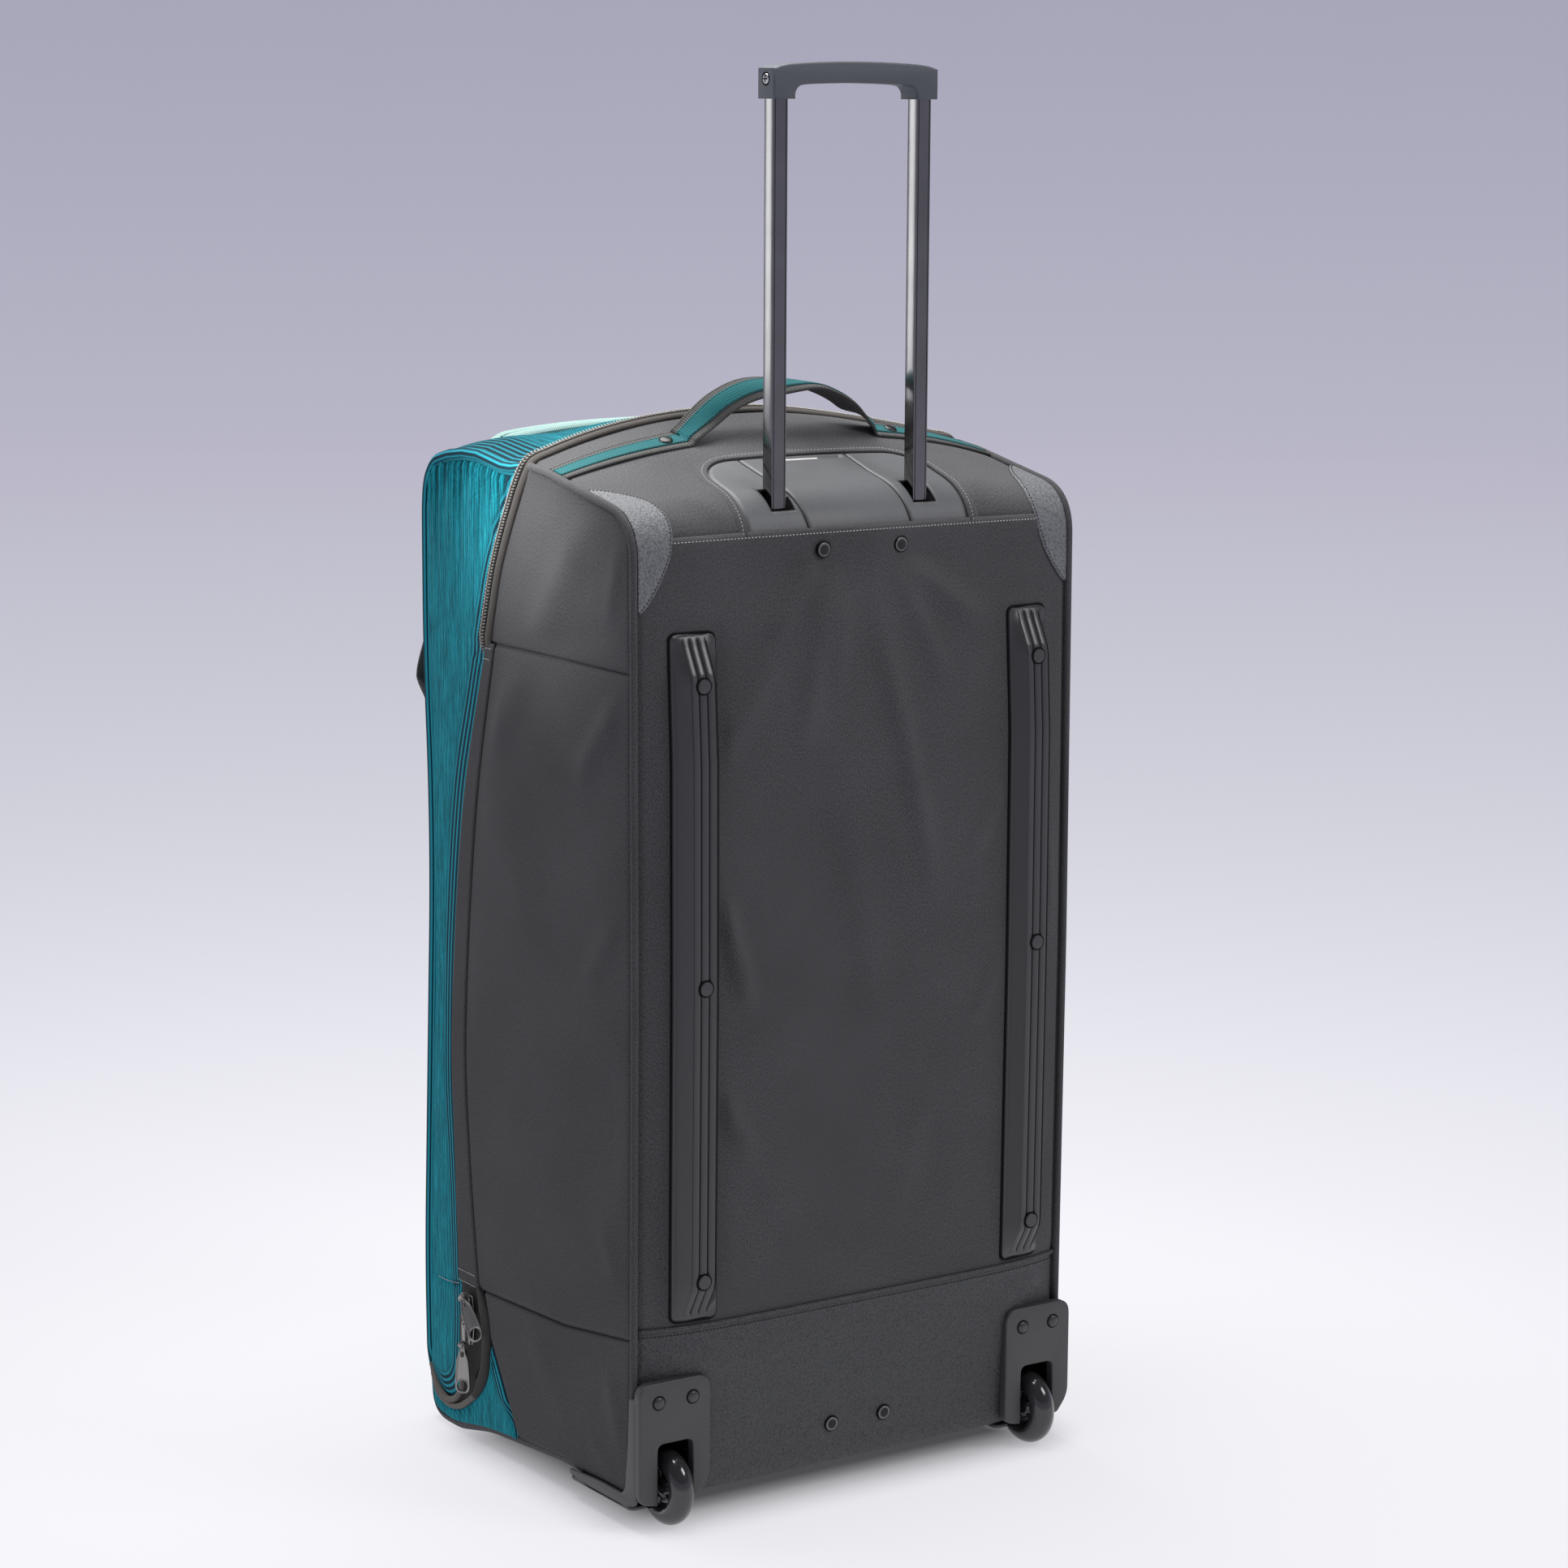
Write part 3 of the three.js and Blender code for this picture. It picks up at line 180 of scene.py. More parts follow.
def stations(y, heights):
    return np.array([station(y, z) for z in heights])


def outline_at(s):
    """The outline's point and outward normal, as y and z."""
    s = np.mod(s, LOOP_LENGTH)
    return rows_at(s, LOOP_AT, LOOP), rows_at(s, LOOP_AT, LOOP_NORMAL)


_swell = np.array(sorted((station(y, z), *row) for y, z, *row in SWELL))
_round = np.array([LOOP_LENGTH, 0, 0, 0])
_swell = np.vstack([_swell[-1:] - _round, _swell, _swell[:1] + _round])


def wrap(s, x, out=0.0, half=WRAP_HALF, shoulder=0.0):
    """A point of the panels that run round the bag: along the outline, across, and out from the cloth."""
    s, x, out = np.broadcast_arrays(np.asarray(s, float), np.asarray(x, float), np.asarray(out, float))
    point, normal = outline_at(s)
    within = np.mod(s, LOOP_LENGTH)
    flat_left, flat_right = (np.interp(within, _swell[:, 0], _swell[:, k]) for k in (2, 3))
    flat = np.where(x > 0, flat_right, flat_left)
    drop = np.interp(within, _swell[:, 0], _swell[:, 1]) * np.maximum(1 - np.abs(x / half)**flat, 0)
    turn = np.zeros_like(x)
    if shoulder:
        turn = np.arcsin(np.clip((np.abs(x) - half + shoulder) / shoulder, 0, 1))
        drop = drop - shoulder * (1 - np.cos(turn))
    level = (drop + out * np.cos(turn))[..., None]
    yz = point + normal * level
    return np.stack([x + np.sign(x) * out * np.sin(turn), yz[..., 0], yz[..., 1]], -1)


def wrap_normal(s, x, half=WRAP_HALF, shoulder=0.0):
    along = wrap(s + 0.5, x, 0, half, shoulder) - wrap(s - 0.5, x, 0, half, shoulder)
    sideways = wrap(s, x + 0.5, 0, half, shoulder) - wrap(s, x - 0.5, 0, half, shoulder)
    return unit(np.cross(sideways, along))


ZIP_TOP = station(152, 817)
PLACE = dict(
    under=station(70, 20) - LOOP_LENGTH, base=station(-5, 158.5), hem=station(0, 768),
    zip_back=ZIP_TOP - ZIP_WIDTH / 2, zip_front=ZIP_TOP + ZIP_WIDTH / 2,
    lid_corner=station(317, 807), lid_fold=station(317, 772), lid_foot=station(321, 34),
    strap=station(110, 809), pocket=station(276, 810),
)


def creases(u, v, folds):
    """Height of soft folds, each along a line: from, to, half width, height."""
    lift = np.zeros_like(u)
    for u0, v0, u1, v1, width, height in folds:
        du, dv = u1 - u0, v1 - v0
        size = math.hypot(du, dv)
        t = ((u - u0) * du + (v - v0) * dv) / size**2
        off = ((u - u0) * dv - (v - v0) * du) / size
        taper = smoothstep(-0.12, 0.3, t) * (1 - smoothstep(0.65, 1.12, t))
        lift += height * np.exp(-(off / width)**2) * taper
    return lift


def ripple(u, v, seed, size, height, stretch=1.0):
    """Gentle unevenness from a few crossing waves."""
    rng = np.random.default_rng(seed)
    lift = np.zeros_like(u)
    for _ in range(9):
        angle, phase, scale = rng.uniform(0, math.tau), rng.uniform(0, math.tau), rng.uniform(0.6, 1.7)
        wave = math.tau / (size * scale)
        lift += np.sin((u * math.cos(angle) + v * math.sin(angle) / stretch) * wave + phase)
    return lift * height / 3


# Meshes

def finish_mesh(name, points, faces, material, cloth=None, edge=None, closed=False):
    mesh = bpy.data.meshes.new(name)
    points = (np.asarray(points, float) + [0, SHIFT_Y, 0]) * MM
    mesh.from_pydata(points.tolist(), [], [tuple(int(i) for i in f) for f in faces])
    if cloth is not None:
        cloth = np.asarray(cloth, float)
        flat = np.zeros((len(points), 3), np.float32)
        flat[:, :cloth.shape[1]] = cloth
        mesh.attributes.new("cloth", "FLOAT_VECTOR", "POINT").data.foreach_set("vector", flat.ravel())
    if edge is not None:
        values = np.asarray(edge, np.float32).ravel()
        mesh.attributes.new("edge", "FLOAT", "POINT").data.foreach_set("value", values)
    mesh.validate()
    if closed:
        shape = bmesh.new()
        shape.from_mesh(mesh)
        bmesh.ops.recalc_face_normals(shape, faces=shape.faces)
        shape.to_mesh(mesh)
        shape.free()
    mesh.polygons.foreach_set("use_smooth", [True] * len(mesh.polygons))
    mesh.update()
    piece = bpy.data.objects.new(name, mesh)
    bpy.context.scene.collection.objects.link(piece)
    piece.data.materials.append(material)
    return piece


def place(piece, body="bag", nodes=()):
    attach(piece, body)
    if nodes:
        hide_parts(*nodes)


def sharpen(piece, angle=35):
    """Keeps the shading crisp where faces meet at more than an angle."""
    mesh = piece.data
    shape = bmesh.new()
    shape.from_mesh(mesh)
    limit = math.radians(angle)
    for line in shape.edges:
        if len(line.link_faces) == 2 and line.calc_face_angle(0) > limit:
            line.smooth = False
    shape.to_mesh(mesh)
    shape.free()
    return piece


def grid_faces(rows, columns, around=False):
    """The quads of a grid of points, whose rows may run round as rings."""
    index = np.arange(rows * columns).reshape(rows, columns)
    ahead = np.roll(index, -1, 1)
    if not around:
        index, ahead = index[:, :-1], ahead[:, :-1]
    return np.stack([index[:-1], ahead[:-1], ahead[1:], index[1:]], -1).reshape(-1, 4)


def tube_faces(rows, columns):
    """The faces of a row of rings, closed at both ends."""
    last = rows * columns
    ends = [list(range(columns)), list(range(last - 1, last - columns - 1, -1))]
    return grid_faces(rows, columns, True).tolist() + ends


def middles(values):
    """A value in the middle of each quad of a grid."""
    return (values[:-1, :-1] + values[1:, 1:]).reshape(-1) / 2


def cloth_sheet(name, grid, coords, material, keep=None, edge=None, thick=1.2):
    """A sheet of cloth on a grid of points, with its thickness inwards."""
    quads = grid_faces(*grid.shape[:2])
    points = grid.reshape(-1, 3)
    corners = points[quads]
    middle = corners.mean(1)
    normal = np.cross(corners[:, 2] - corners[:, 0], corners[:, 3] - corners[:, 1])
    if np.sum(normal * (middle - INSIDE)) < 0:
        quads = quads[:, ::-1]
    if keep is not None:
        quads = quads[keep(middle)]
    used = np.unique(quads)
    renumber = np.full(len(points), -1)
    renumber[used] = np.arange(len(used))
    attributes = dict(cloth=np.asarray(coords).reshape(len(points), -1)[used])
    if edge is not None:
        attributes["edge"] = np.asarray(edge).reshape(-1)[used]
    piece = finish_mesh(name, points[used], renumber[quads], material, **attributes)
    solid = piece.modifiers.new("thickness", "SOLIDIFY")
    solid.thickness = thick * MM
    solid.offset = -1
    return piece


def sweep(path, normals, profile):
    """Points, faces and cloth measure of a profile (sideways, out) carried along a path."""
    path = np.asarray(path, float)
    along = unit(np.gradient(path, axis=0))
    normals = np.broadcast_to(np.asarray(normals, float), path.shape)
    normals = unit(normals - along * np.sum(along * normals, -1, keepdims=True))
    side = np.cross(along, normals)
    profile = np.asarray(profile, float)
    profile = np.broadcast_to(profile, (len(path),) + profile.shape[-2:])
    points = path[:, None] + profile[..., :1] * side[:, None] + profile[..., 1:] * normals[:, None]
    girth = np.array([lengths(row) for row in profile])
    measure = np.stack([girth, np.broadcast_to(lengths(path)[:, None], girth.shape)], -1)
    return points.reshape(-1, 3), tube_faces(*profile.shape[:2]), measure.reshape(-1, 2)


class Gather:
    """Collects many small shapes into one mesh."""

    def __init__(self):
        self.points, self.faces, self.cloth, self.count = [], [], [], 0

    def add(self, points, faces, cloth=None):
        points = np.asarray(points, float)
        self.points.append(points)
        self.faces += [[i + self.count for i in f] for f in faces]
        self.cloth.append(np.zeros((len(points), 2)) if cloth is None else np.asarray(cloth)[:, :2])
        self.count += len(points)

    def piece(self, name, material):
        points, cloth = np.vstack(self.points), np.vstack(self.cloth)
        return finish_mesh(name, points, self.faces, material, cloth, closed=True)


def piece_of(name, material, *shapes):
    """One piece made of a few shapes."""
    store = Gather()
    for shape in shapes:
        store.add(*shape)
    return store.piece(name, material)


BOX_FACES = [[0, 1, 3, 2], [4, 6, 7, 5], [0, 4, 5, 1], [2, 3, 7, 6], [0, 2, 6, 4], [1, 5, 7, 3]]


def box(low, high):
    xs, ys, zs = zip(low, high)
    return [[x, y, z] for z in zs for y in ys for x in xs], BOX_FACES


def ellipse(a, b, count=16, power=1.0):
    turn = np.linspace(0, math.tau, count, endpoint=False)
    c, s = np.cos(turn), np.sin(turn)
    return np.stack([a * np.sign(c) * np.abs(c)**power, b * np.sign(s) * np.abs(s)**power], -1)


STITCH = np.array([
    (-1, 0, 0), (-0.7, -1, 0), (0.7, -1, 0), (1, 0, 0), (0.7, 1, 0), (-0.7, 1, 0), (-0.55, 0, 1),
    (0.55, 0, 1),
])
STITCH_FACES = [[0, 1, 6], [1, 2, 7, 6], [2, 3, 7], [3, 4, 7], [4, 5, 6, 7], [5, 0, 6], [5, 4, 3, 2, 1, 0]]


def stitches(store, path, normals, pitch, size, turn=0.0):
    """A row of stitches along a path; size is half length, half width and height."""
    path = np.asarray(path, float)
    along_at = lengths(path)
    count = max(int(along_at[-1] / pitch), 1)
    normals = np.broadcast_to(np.asarray(normals, float), path.shape)
    places = (np.arange(count) + 0.5) * along_at[-1] / count
    spot = rows_at(places, along_at, path)
    ahead = rows_at(np.minimum(places + 0.4, along_at[-1]), along_at, path)
    behind = rows_at(np.maximum(places - 0.4, 0), along_at, path)
    up = unit(rows_at(places, along_at, normals))
    along = unit(ahead - behind)
    side = unit(np.cross(along, up))
    c, s = math.cos(turn), math.sin(turn)
    along, side = along * c + side * s, side * c - along * s
    shape = STITCH * np.array(size)
    for p, a, b, c in zip(spot, along, side, up):
        store.add(p + shape[:, :1] * a + shape[:, 1:2] * b + shape[:, 2:] * c, STITCH_FACES)


def turned(store, profile, foot, direction, sides=32):
    """A round shape on an axis: profile is radius and height."""
    direction = unit(direction)
    helper = np.array([1.0, 0, 0]) if abs(direction[0]) < 0.9 else np.array([0, 1.0, 0])
    a = unit(np.cross(direction, helper))
    b = np.cross(direction, a)
    turn = np.linspace(0, math.tau, sides, endpoint=False)
    ring = np.cos(turn)[:, None] * a + np.sin(turn)[:, None] * b
    profile = np.asarray(profile, float)
    points = np.asarray(foot) + profile[:, :1, None] * ring + profile[:, 1:, None] * direction
    store.add(points.reshape(-1, 3), tube_faces(len(profile), sides))


def flat_solid(loops, thick, bevel, matrix):
    """A plate cut from loops of points, the first its rim and the others holes, with rounded edges."""
    curve = bpy.data.curves.new("plate", "CURVE")
    curve.dimensions = "2D"
    curve.fill_mode = "BOTH"
    for loop in loops:
        line = curve.splines.new("POLY")
        line.points.add(len(loop) - 1)
        line.use_cyclic_u = True
        flat = np.hstack([np.asarray(loop, float), np.tile([0.0, 1.0], (len(loop), 1))])
        line.points.foreach_set("co", flat.ravel())
    curve.extrude = thick / 2 - bevel
    curve.bevel_depth = bevel
    curve.bevel_resolution = 3
    curve.offset = -bevel
    holder = bpy.data.objects.new("plate", curve)
    bpy.context.scene.collection.objects.link(holder)
    seen = holder.evaluated_get(bpy.context.evaluated_depsgraph_get())
    mesh = bpy.data.meshes.new_from_object(seen)
    bpy.data.objects.remove(holder)
    shape = bmesh.new()
    shape.from_mesh(mesh)
    bmesh.ops.remove_doubles(shape, verts=shape.verts, dist=1e-4)
    bmesh.ops.recalc_face_normals(shape, faces=shape.faces)
    points = np.array([v.co for v in shape.verts])
    faces = [[v.index for v in f.verts] for f in shape.faces]
    shape.free()
    matrix = np.asarray(matrix, float)
    return points @ matrix[:, :3].T + matrix[:, 3], faces


def rounded_loop(corners, segments=8):
    """A closed outline whose corners (across, along, radius) are rounded."""
    parts = []
    t = np.linspace(0, 1, segments)[:, None]
    for i, (x, y, r) in enumerate(corners):
        here = np.array([x, y], float)
        before = np.array(corners[i - 1][:2]) - here
        after = np.array(corners[(i + 1) % len(corners)][:2]) - here
        cut = min(r, 0.48 * np.linalg.norm(before), 0.48 * np.linalg.norm(after))
        parts.append(corner_curve(here + unit(before) * cut, here, here + unit(after) * cut, t))
    return np.vstack(parts)


def mirrored(half):
    """Corners (across, along, radius) on one side, and their mirror images in the other order."""
    return half + [(-x, y, r) for x, y, r in half[::-1]]


def coons(bottom, top, left, right):
    """A grid of points between four edges."""
    u = np.linspace(0, 1, len(bottom))[None, :, None]
    v = np.linspace(0, 1, len(left))[:, None, None]
    edges = (1 - v) * bottom[None] + v * top[None] + (1 - u) * left[:, None] + u * right[:, None]
    corners = (1 - u) * ((1 - v) * bottom[0] + v * top[0]) + u * ((1 - v) * bottom[-1] + v * top[-1])
    return edges - corners


# Materials

class Paint:
    """A material's nodes, with short ways to add them."""

    def __init__(self, name, **values):
        self.material = bpy.data.materials.new(name)
        self.material.use_nodes = True
        self.tree = self.material.node_tree
        self.shader = self.tree.nodes["Principled BSDF"]
        for key, value in values.items():
            self.shader.inputs[key.replace("_", " ")].default_value = value

    def node(self, kind, inputs=None, **settings):
        made = self.tree.nodes.new("ShaderNode" + kind)
        for key, value in settings.items():
            setattr(made, key, value)
        for key, value in (inputs or {}).items():
            self.join(value, made.inputs[key])
        return made

    def join(self, value, socket):
        if isinstance(value, bpy.types.NodeSocket):
            self.tree.links.new(value, socket)
        else:
            socket.default_value = value

    def attribute(self, name, output="Vector"):
        return self.node("Attribute", attribute_name=name).outputs[output]

    def stretched(self, vector, scale):
        return self.node("Mapping", {"Vector": vector, "Scale": scale}).outputs["Vector"]

    def measure(self, scale=(1, 1, 1)):
        """Millimetres across and along the cloth."""
        return self.stretched(self.attribute("cloth"), scale)

    def here(self):
        return self.node("TexCoord").outputs["Object"]

    def noise(self, vector, scale, detail=2.0, roughness=0.5):
        inputs = {"Vector": vector, "Scale": scale, "Detail": detail, "Roughness": roughness}
        return self.node("TexNoise", inputs).outputs["Fac"]

    def bands(self, vector, scale, direction="X", distortion=0.0):
        inputs = {"Vector": vector, "Scale": scale, "Distortion": distortion, "Detail": 1.0}
        return self.node("TexWave", inputs, bands_direction=direction).outputs["Fac"]

    def cells(self, vector, scale):
        inputs = {"Vector": vector, "Scale": scale}
        return self.node("TexVoronoi", inputs, feature="SMOOTH_F1").outputs["Distance"]

    def math(self, operation, a, b=0.0):
        return self.node("Math", {0: a, 1: b}, operation=operation).outputs[0]

    def total(self, *parts):
        """The sum of values, each with its weight."""
        found = None
        for value, weight in parts:
            part = self.math("MULTIPLY", value, weight)
            found = part if found is None else self.math("ADD", found, part)
        return found

    def mix(self, factor, a, b, blend="MIX"):
        return self.node("Mix", {0: factor, 6: a, 7: b}, data_type="RGBA", blend_type=blend).outputs[2]

    def ramp(self, factor, stops):
        made = self.node("ValToRGB", {"Fac": factor})
        marks = made.color_ramp.elements
        while len(marks) < len(stops):
            marks.new(0.5)
        for mark, (position, colour) in zip(marks, stops):
            mark.position = position
            mark.color = (*colour, 1)
        return made.outputs["Color"]

    def levels(self, factor, low, high, start=0.0, end=1.0):
        inputs = {"Value": factor, "From Min": start, "From Max": end, "To Min": low, "To Max": high}
        return self.node("MapRange", inputs).outputs["Result"]

    def done(self, colour=None, roughness=None, height=None, distance=0.0003, strength=0.5):
        if colour is not None:
            self.join(colour, self.shader.inputs["Base Color"])
        if roughness is not None:
            self.join(roughness, self.shader.inputs["Roughness"])
        if height is not None:
            bump = self.node("Bump", {"Height": height, "Distance": distance, "Strength": strength})
            self.tree.links.new(bump.outputs["Normal"], self.shader.inputs["Normal"])
        return self.material


def grey(value, tint=(1.0, 0.985, 1.03)):
    return tuple(value * k for k in tint)


def twill(name, dark, light):
    """Matt twill: slanting ribs, a speckle of yarns and a slow drift of tone."""
    p = Paint(name, Sheen_Weight=0.06, Sheen_Roughness=0.6, Specular_IOR_Level=0.2)
    ribs = p.bands(p.measure(), 0.34, "DIAGONAL", 1.2)
    yarn = p.noise(p.measure((1.0, 0.8, 1)), 0.75, 3.0, 0.65)
    drift = p.noise(p.measure(), 0.011, 2.0)
    tone = p.total((ribs, 0.24), (yarn, 0.76))
    colour = p.ramp(tone, [(0.28, grey(dark)), (0.72, grey(light))])
    shade = p.ramp(drift, [(0.3, (0.9, 0.9, 0.9)), (0.7, (1.08, 1.08, 1.08))])
    colour = p.mix(1.0, colour, shade, "MULTIPLY")
    return p.done(colour, p.levels(yarn, 0.78, 0.95), tone, 0.0005, 0.5)


STRIPE_PITCH = 5.2


def heather(name, band=(15.0, 21.0), gain=1.33):
    """Teal cloth with long darker and brighter streaks, fine ribs, and stripes beside its sewn edges."""
    p = Paint(name, Sheen_Weight=0.03, Sheen_Roughness=0.5, Specular_IOR_Level=0.12)
    streak = p.noise(p.measure((0.55, 0.022, 0)), 1.0, 3.0, 0.6)
    fleck = p.noise(p.measure((0.9, 0.10, 0)), 1.0, 2.0, 0.7)
    ribs = p.bands(p.measure((1, 1, 0)), 0.15, "X", 0.8)
    tone = p.total((streak, 0.65), (fleck, 0.35))
    body = p.ramp(tone, [
        (0.30, grey(gain, (0.002, 0.052, 0.072))), (0.47, grey(gain, (0.004, 0.155, 0.195))),
        (0.58, grey(gain, (0.008, 0.255, 0.310))), (0.75, grey(gain, (0.030, 0.400, 0.450))),
    ])
    body = p.mix(p.levels(ribs, 0.6, 0.0, 0.0, 0.5), body, (0.003, 0.045, 0.065, 1))
    edge = p.attribute("edge", "Fac")
    lines = p.math("SINE", p.math("MULTIPLY", edge, math.tau / STRIPE_PITCH))
    stripe = p.ramp(p.levels(lines, 0.0, 1.0, -1.0, 1.0), [
        (0.40, grey(gain, (0.006, 0.026, 0.038))), (0.60, grey(gain, (0.006, 0.110, 0.150))),
        (0.88, grey(gain, (0.016, 0.230, 0.290))),
    ])
    colour = p.mix(p.levels(edge, 1.0, 0.0, *band), body, stripe)
    # Painted shade in the troughs of the lid's pleats, carried as the cloth measure's third value
    painted_pleat_shade = p.node("SeparateXYZ", {0: p.attribute("cloth")}).outputs["Z"]
    colour = p.mix(painted_pleat_shade, colour, (0.002, 0.020, 0.030, 1))
    height = p.total((ribs, 0.6), (tone, 0.5))
    return p.done(colour, p.levels(tone, 0.75, 0.92), height, 0.0006, 0.6)


def grain(name, dark, light, cell, rough, tint=(0.97, 1.0, 1.05)):
    """Coated cloth with a pebbled skin."""
    p = Paint(name, Specular_IOR_Level=0.4)
    uneven = p.noise(p.measure(), 0.5, 2.0)
    pebbles = p.cells(p.measure(), 1.0 / cell)
    fine = p.noise(p.measure(), 2.4 / cell, 2.0, 0.6)
    height = p.total((pebbles, -0.9), (fine, 0.6))
    tone = p.total((fine, 0.5), (uneven, 0.4), (pebbles, -0.35))
    colour = p.ramp(tone, [(0.12, grey(dark, tint)), (0.45, grey(light, tint))])
    return p.done(colour, p.levels(tone, rough[1], rough[0], 0.12, 0.45), height, 0.0008, 0.9)


def moulded(name, value, rough, size=900.0, depth=0.00008, tint=(0.98, 1.0, 1.04), **values):
    """Moulded plastic with a fine grain and slight scuffs."""
    p = Paint(name, **values)
    fine = p.noise(p.here(), size, 2.0, 0.6)
    slow = p.noise(p.here(), 14.0, 3.0)
    tone = p.total((fine, 0.5), (slow, 0.5))
    colour = p.ramp(tone, [(0.3, grey(value * 0.88, tint)), (0.7, grey(value * 1.12, tint))])
    return p.done(colour, p.levels(slow, rough * 0.88, rough * 1.12, 0.3, 0.7), fine, depth, 0.5)


def metal(name, value, rough, tint=(1.0, 1.0, 1.0)):
    """Plated or polished metal with faint drawn lines."""
    p = Paint(name, Metallic=1.0)
    lines = p.noise(p.stretched(p.here(), (1.0, 1.0, 0.03)), 1500.0, 2.0)
    slow = p.noise(p.here(), 30.0, 2.0)
    colour = p.ramp(slow, [(0.3, grey(value * 0.92, tint)), (0.7, grey(value * 1.06, tint))])
    return p.done(colour, p.levels(lines, rough * 0.8, rough * 1.2, 0.3, 0.7), lines, 0.00002, 0.3)


BAND = 0.314


def ribbed(name, dark, light, pitch=1.9, tint=(1.0, 0.985, 0.95), depth=0.0005):
    """Webbing: cross ribs of thick yarn. BAND over a pitch in millimetres is the scale of a wave texture."""
    p = Paint(name, Sheen_Weight=0.1, Sheen_Roughness=0.5, Specular_IOR_Level=0.25)
    ribs = p.bands(p.measure(), BAND / pitch, "Y", 0.6)
    lengthways = p.bands(p.measure(), BAND / 2.2, "X", 0.6)
    yarn = p.noise(p.measure(), 0.9, 3.0, 0.6)
    tone = p.total((ribs, 0.5), (yarn, 0.5))
    colour = p.ramp(tone, [(0.25, grey(dark, tint)), (0.75, grey(light, tint))])
    return p.done(colour, p.levels(yarn, 0.75, 0.92), p.total((ribs, 1.0), (lengthways, 0.4)), depth, 0.6)


GREY = twill("grey_twill", 0.021, 0.107)
# A lighter copy of the grey twill for the top panel and the plate's border: painted light from the lamp above
TOP_GREY_LIT = twill("top_twill_painted_light", 0.024, 0.123)
# A darker copy of the grey twill for the side panels: painted shade on the sides, which get less light
SIDE_GREY_SHADED = twill("side_twill_painted_shade", 0.0175, 0.089)
TEAL = heather("teal_heather")
# The teal of the lid's top, its stripes further from the edge; its lower gain is painted shade against the
# strong light from above
TEAL_TOP_SHADED = heather("teal_lid_top_shaded", (34.0, 46.0), 0.78)
GRAINED = grain("grained_base", 0.023, 0.074, 1.4, (0.34, 0.46))
PATCH = grain("grained_corner", 0.08, 0.22, 1.5, (0.38, 0.55))
PLASTIC = moulded("rail_plastic", 0.043, 0.32)
HOUSING = moulded("housing_plastic", 0.056, 0.46)
GRIP = moulded("grip_plastic", 0.072, 0.5, 1100.0, 0.0005, (0.90, 1.0, 1.2))
PLATE = moulded("plate_rubber", 0.104, 0.46, 500.0, 0.00008, Specular_IOR_Level=0.35)
# Near-black painted shade: the gaps round the rails and rivets, the plate's slots, the wheel wells and the
# screw's slots
SHADE_BLACK = moulded("painted_shade_black", 0.004, 0.7, Specular_IOR_Level=0.1)
DARK_DISC = moulded("rivet_face", 0.030, 0.7, Specular_IOR_Level=0.15)
TYRE = moulded("wheel_gloss", 0.026, 0.15, 300.0, 0.00002, Coat_Weight=0.5, Coat_Roughness=0.05)
TUBE = metal("tube_metal", 0.18, 0.14)
STEEL = metal("dark_steel", 0.15, 0.34)
GUNMETAL = metal("gunmetal", 0.30, 0.42, (1.0, 0.97, 0.93))
RIVET = metal("rivet_metal", 0.06, 0.38)
TEETH = moulded("zip_teeth", 0.27, 0.35, 500.0, 0.00002, (1.0, 0.94, 0.84))
BRIGHT = metal("bright_steel", 0.62, 0.2)
WEBBING = ribbed("webbing", 0.040, 0.100)
TRIM = ribbed("teal_trim", 0.030, 0.064, 1.6, (0.08, 2.3, 2.5))
TAPE = ribbed("zip_tape", 0.095, 0.150, 0.9, (1.06, 0.96, 0.86), 0.00015)
# A darker copy of the zip tape for the main zip round the lid: painted shade against the strong light from
# above
ZIP_TAPE_SHADED = ribbed("zip_tape_painted_shade", 0.045, 0.080, 0.9, (1.06, 0.96, 0.86), 0.00015)
BLACK_TAPE = ribbed("black_tape", 0.012, 0.03, 1.2)
# A darker copy of the zip tape for the arms round the zips' open ends: painted shade where they lie in shadow
ZIP_ARM_TAPE_SHADED = ribbed("zip_arm_tape_painted_shade", 0.026, 0.040, 0.9, (1.04, 0.98, 0.92), 0.00012)
# The pocket zip's tape and coil: teal, painted pale as highlight from the light behind the bag
POCKET_TAPE_LIT = ribbed("pocket_tape_painted_highlight", 0.34, 0.62, 1.8, (0.68, 1.0, 0.93))
POCKET_COIL_LIT = moulded("pocket_coil_painted_highlight", 0.30, 0.5, 500.0, 0.00002, (0.45, 1.0, 0.92))
PALE_THREAD = ribbed("pale_thread", 0.50, 0.80, 0.8, (1.0, 0.98, 0.95))
DARK_THREAD_AND_SHADE = ribbed("dark_thread_and_seam_shade", 0.010, 0.024, 0.8)

# Stitches of pale and of dark thread, gathered until the end; the dark ones also hold the painted shade in
# the plate's seams
pale = Gather()
dark = Gather()


# Panels that run across the back, top and lid

def panel(name, s, x, out, material, half=WRAP_HALF, shoulder=0.0, keep=None, edge=None, thick=1.2,
          rise=None):
    """A panel on the outline: places along and across it, and how far each point stands out."""
    s, x = np.meshgrid(s, x, indexing="ij")
    lift = out(s, x) if callable(out) else np.full_like(s, out)
    grid = wrap(s, x, lift, half, shoulder)
    if rise is not None:
        grid = grid + rise(s, x)
    coords = np.stack([x, s], -1)
    edge = None if edge is None else edge(s, x)
    return cloth_sheet(name, grid, coords, material, keep, edge, thick)


def across(half, count):
    """Places across a panel, closer together near its edges."""
    t = np.linspace(-1, 1, count)
    return half * np.sign(t) * (1 - (1 - np.abs(t))**1.25)


def beside_piping(x):
    """How deep the cloth is drawn in where it meets the piping."""
    return 2.0 * smoothstep(4, 0, WRAP_HALF - np.abs(x))


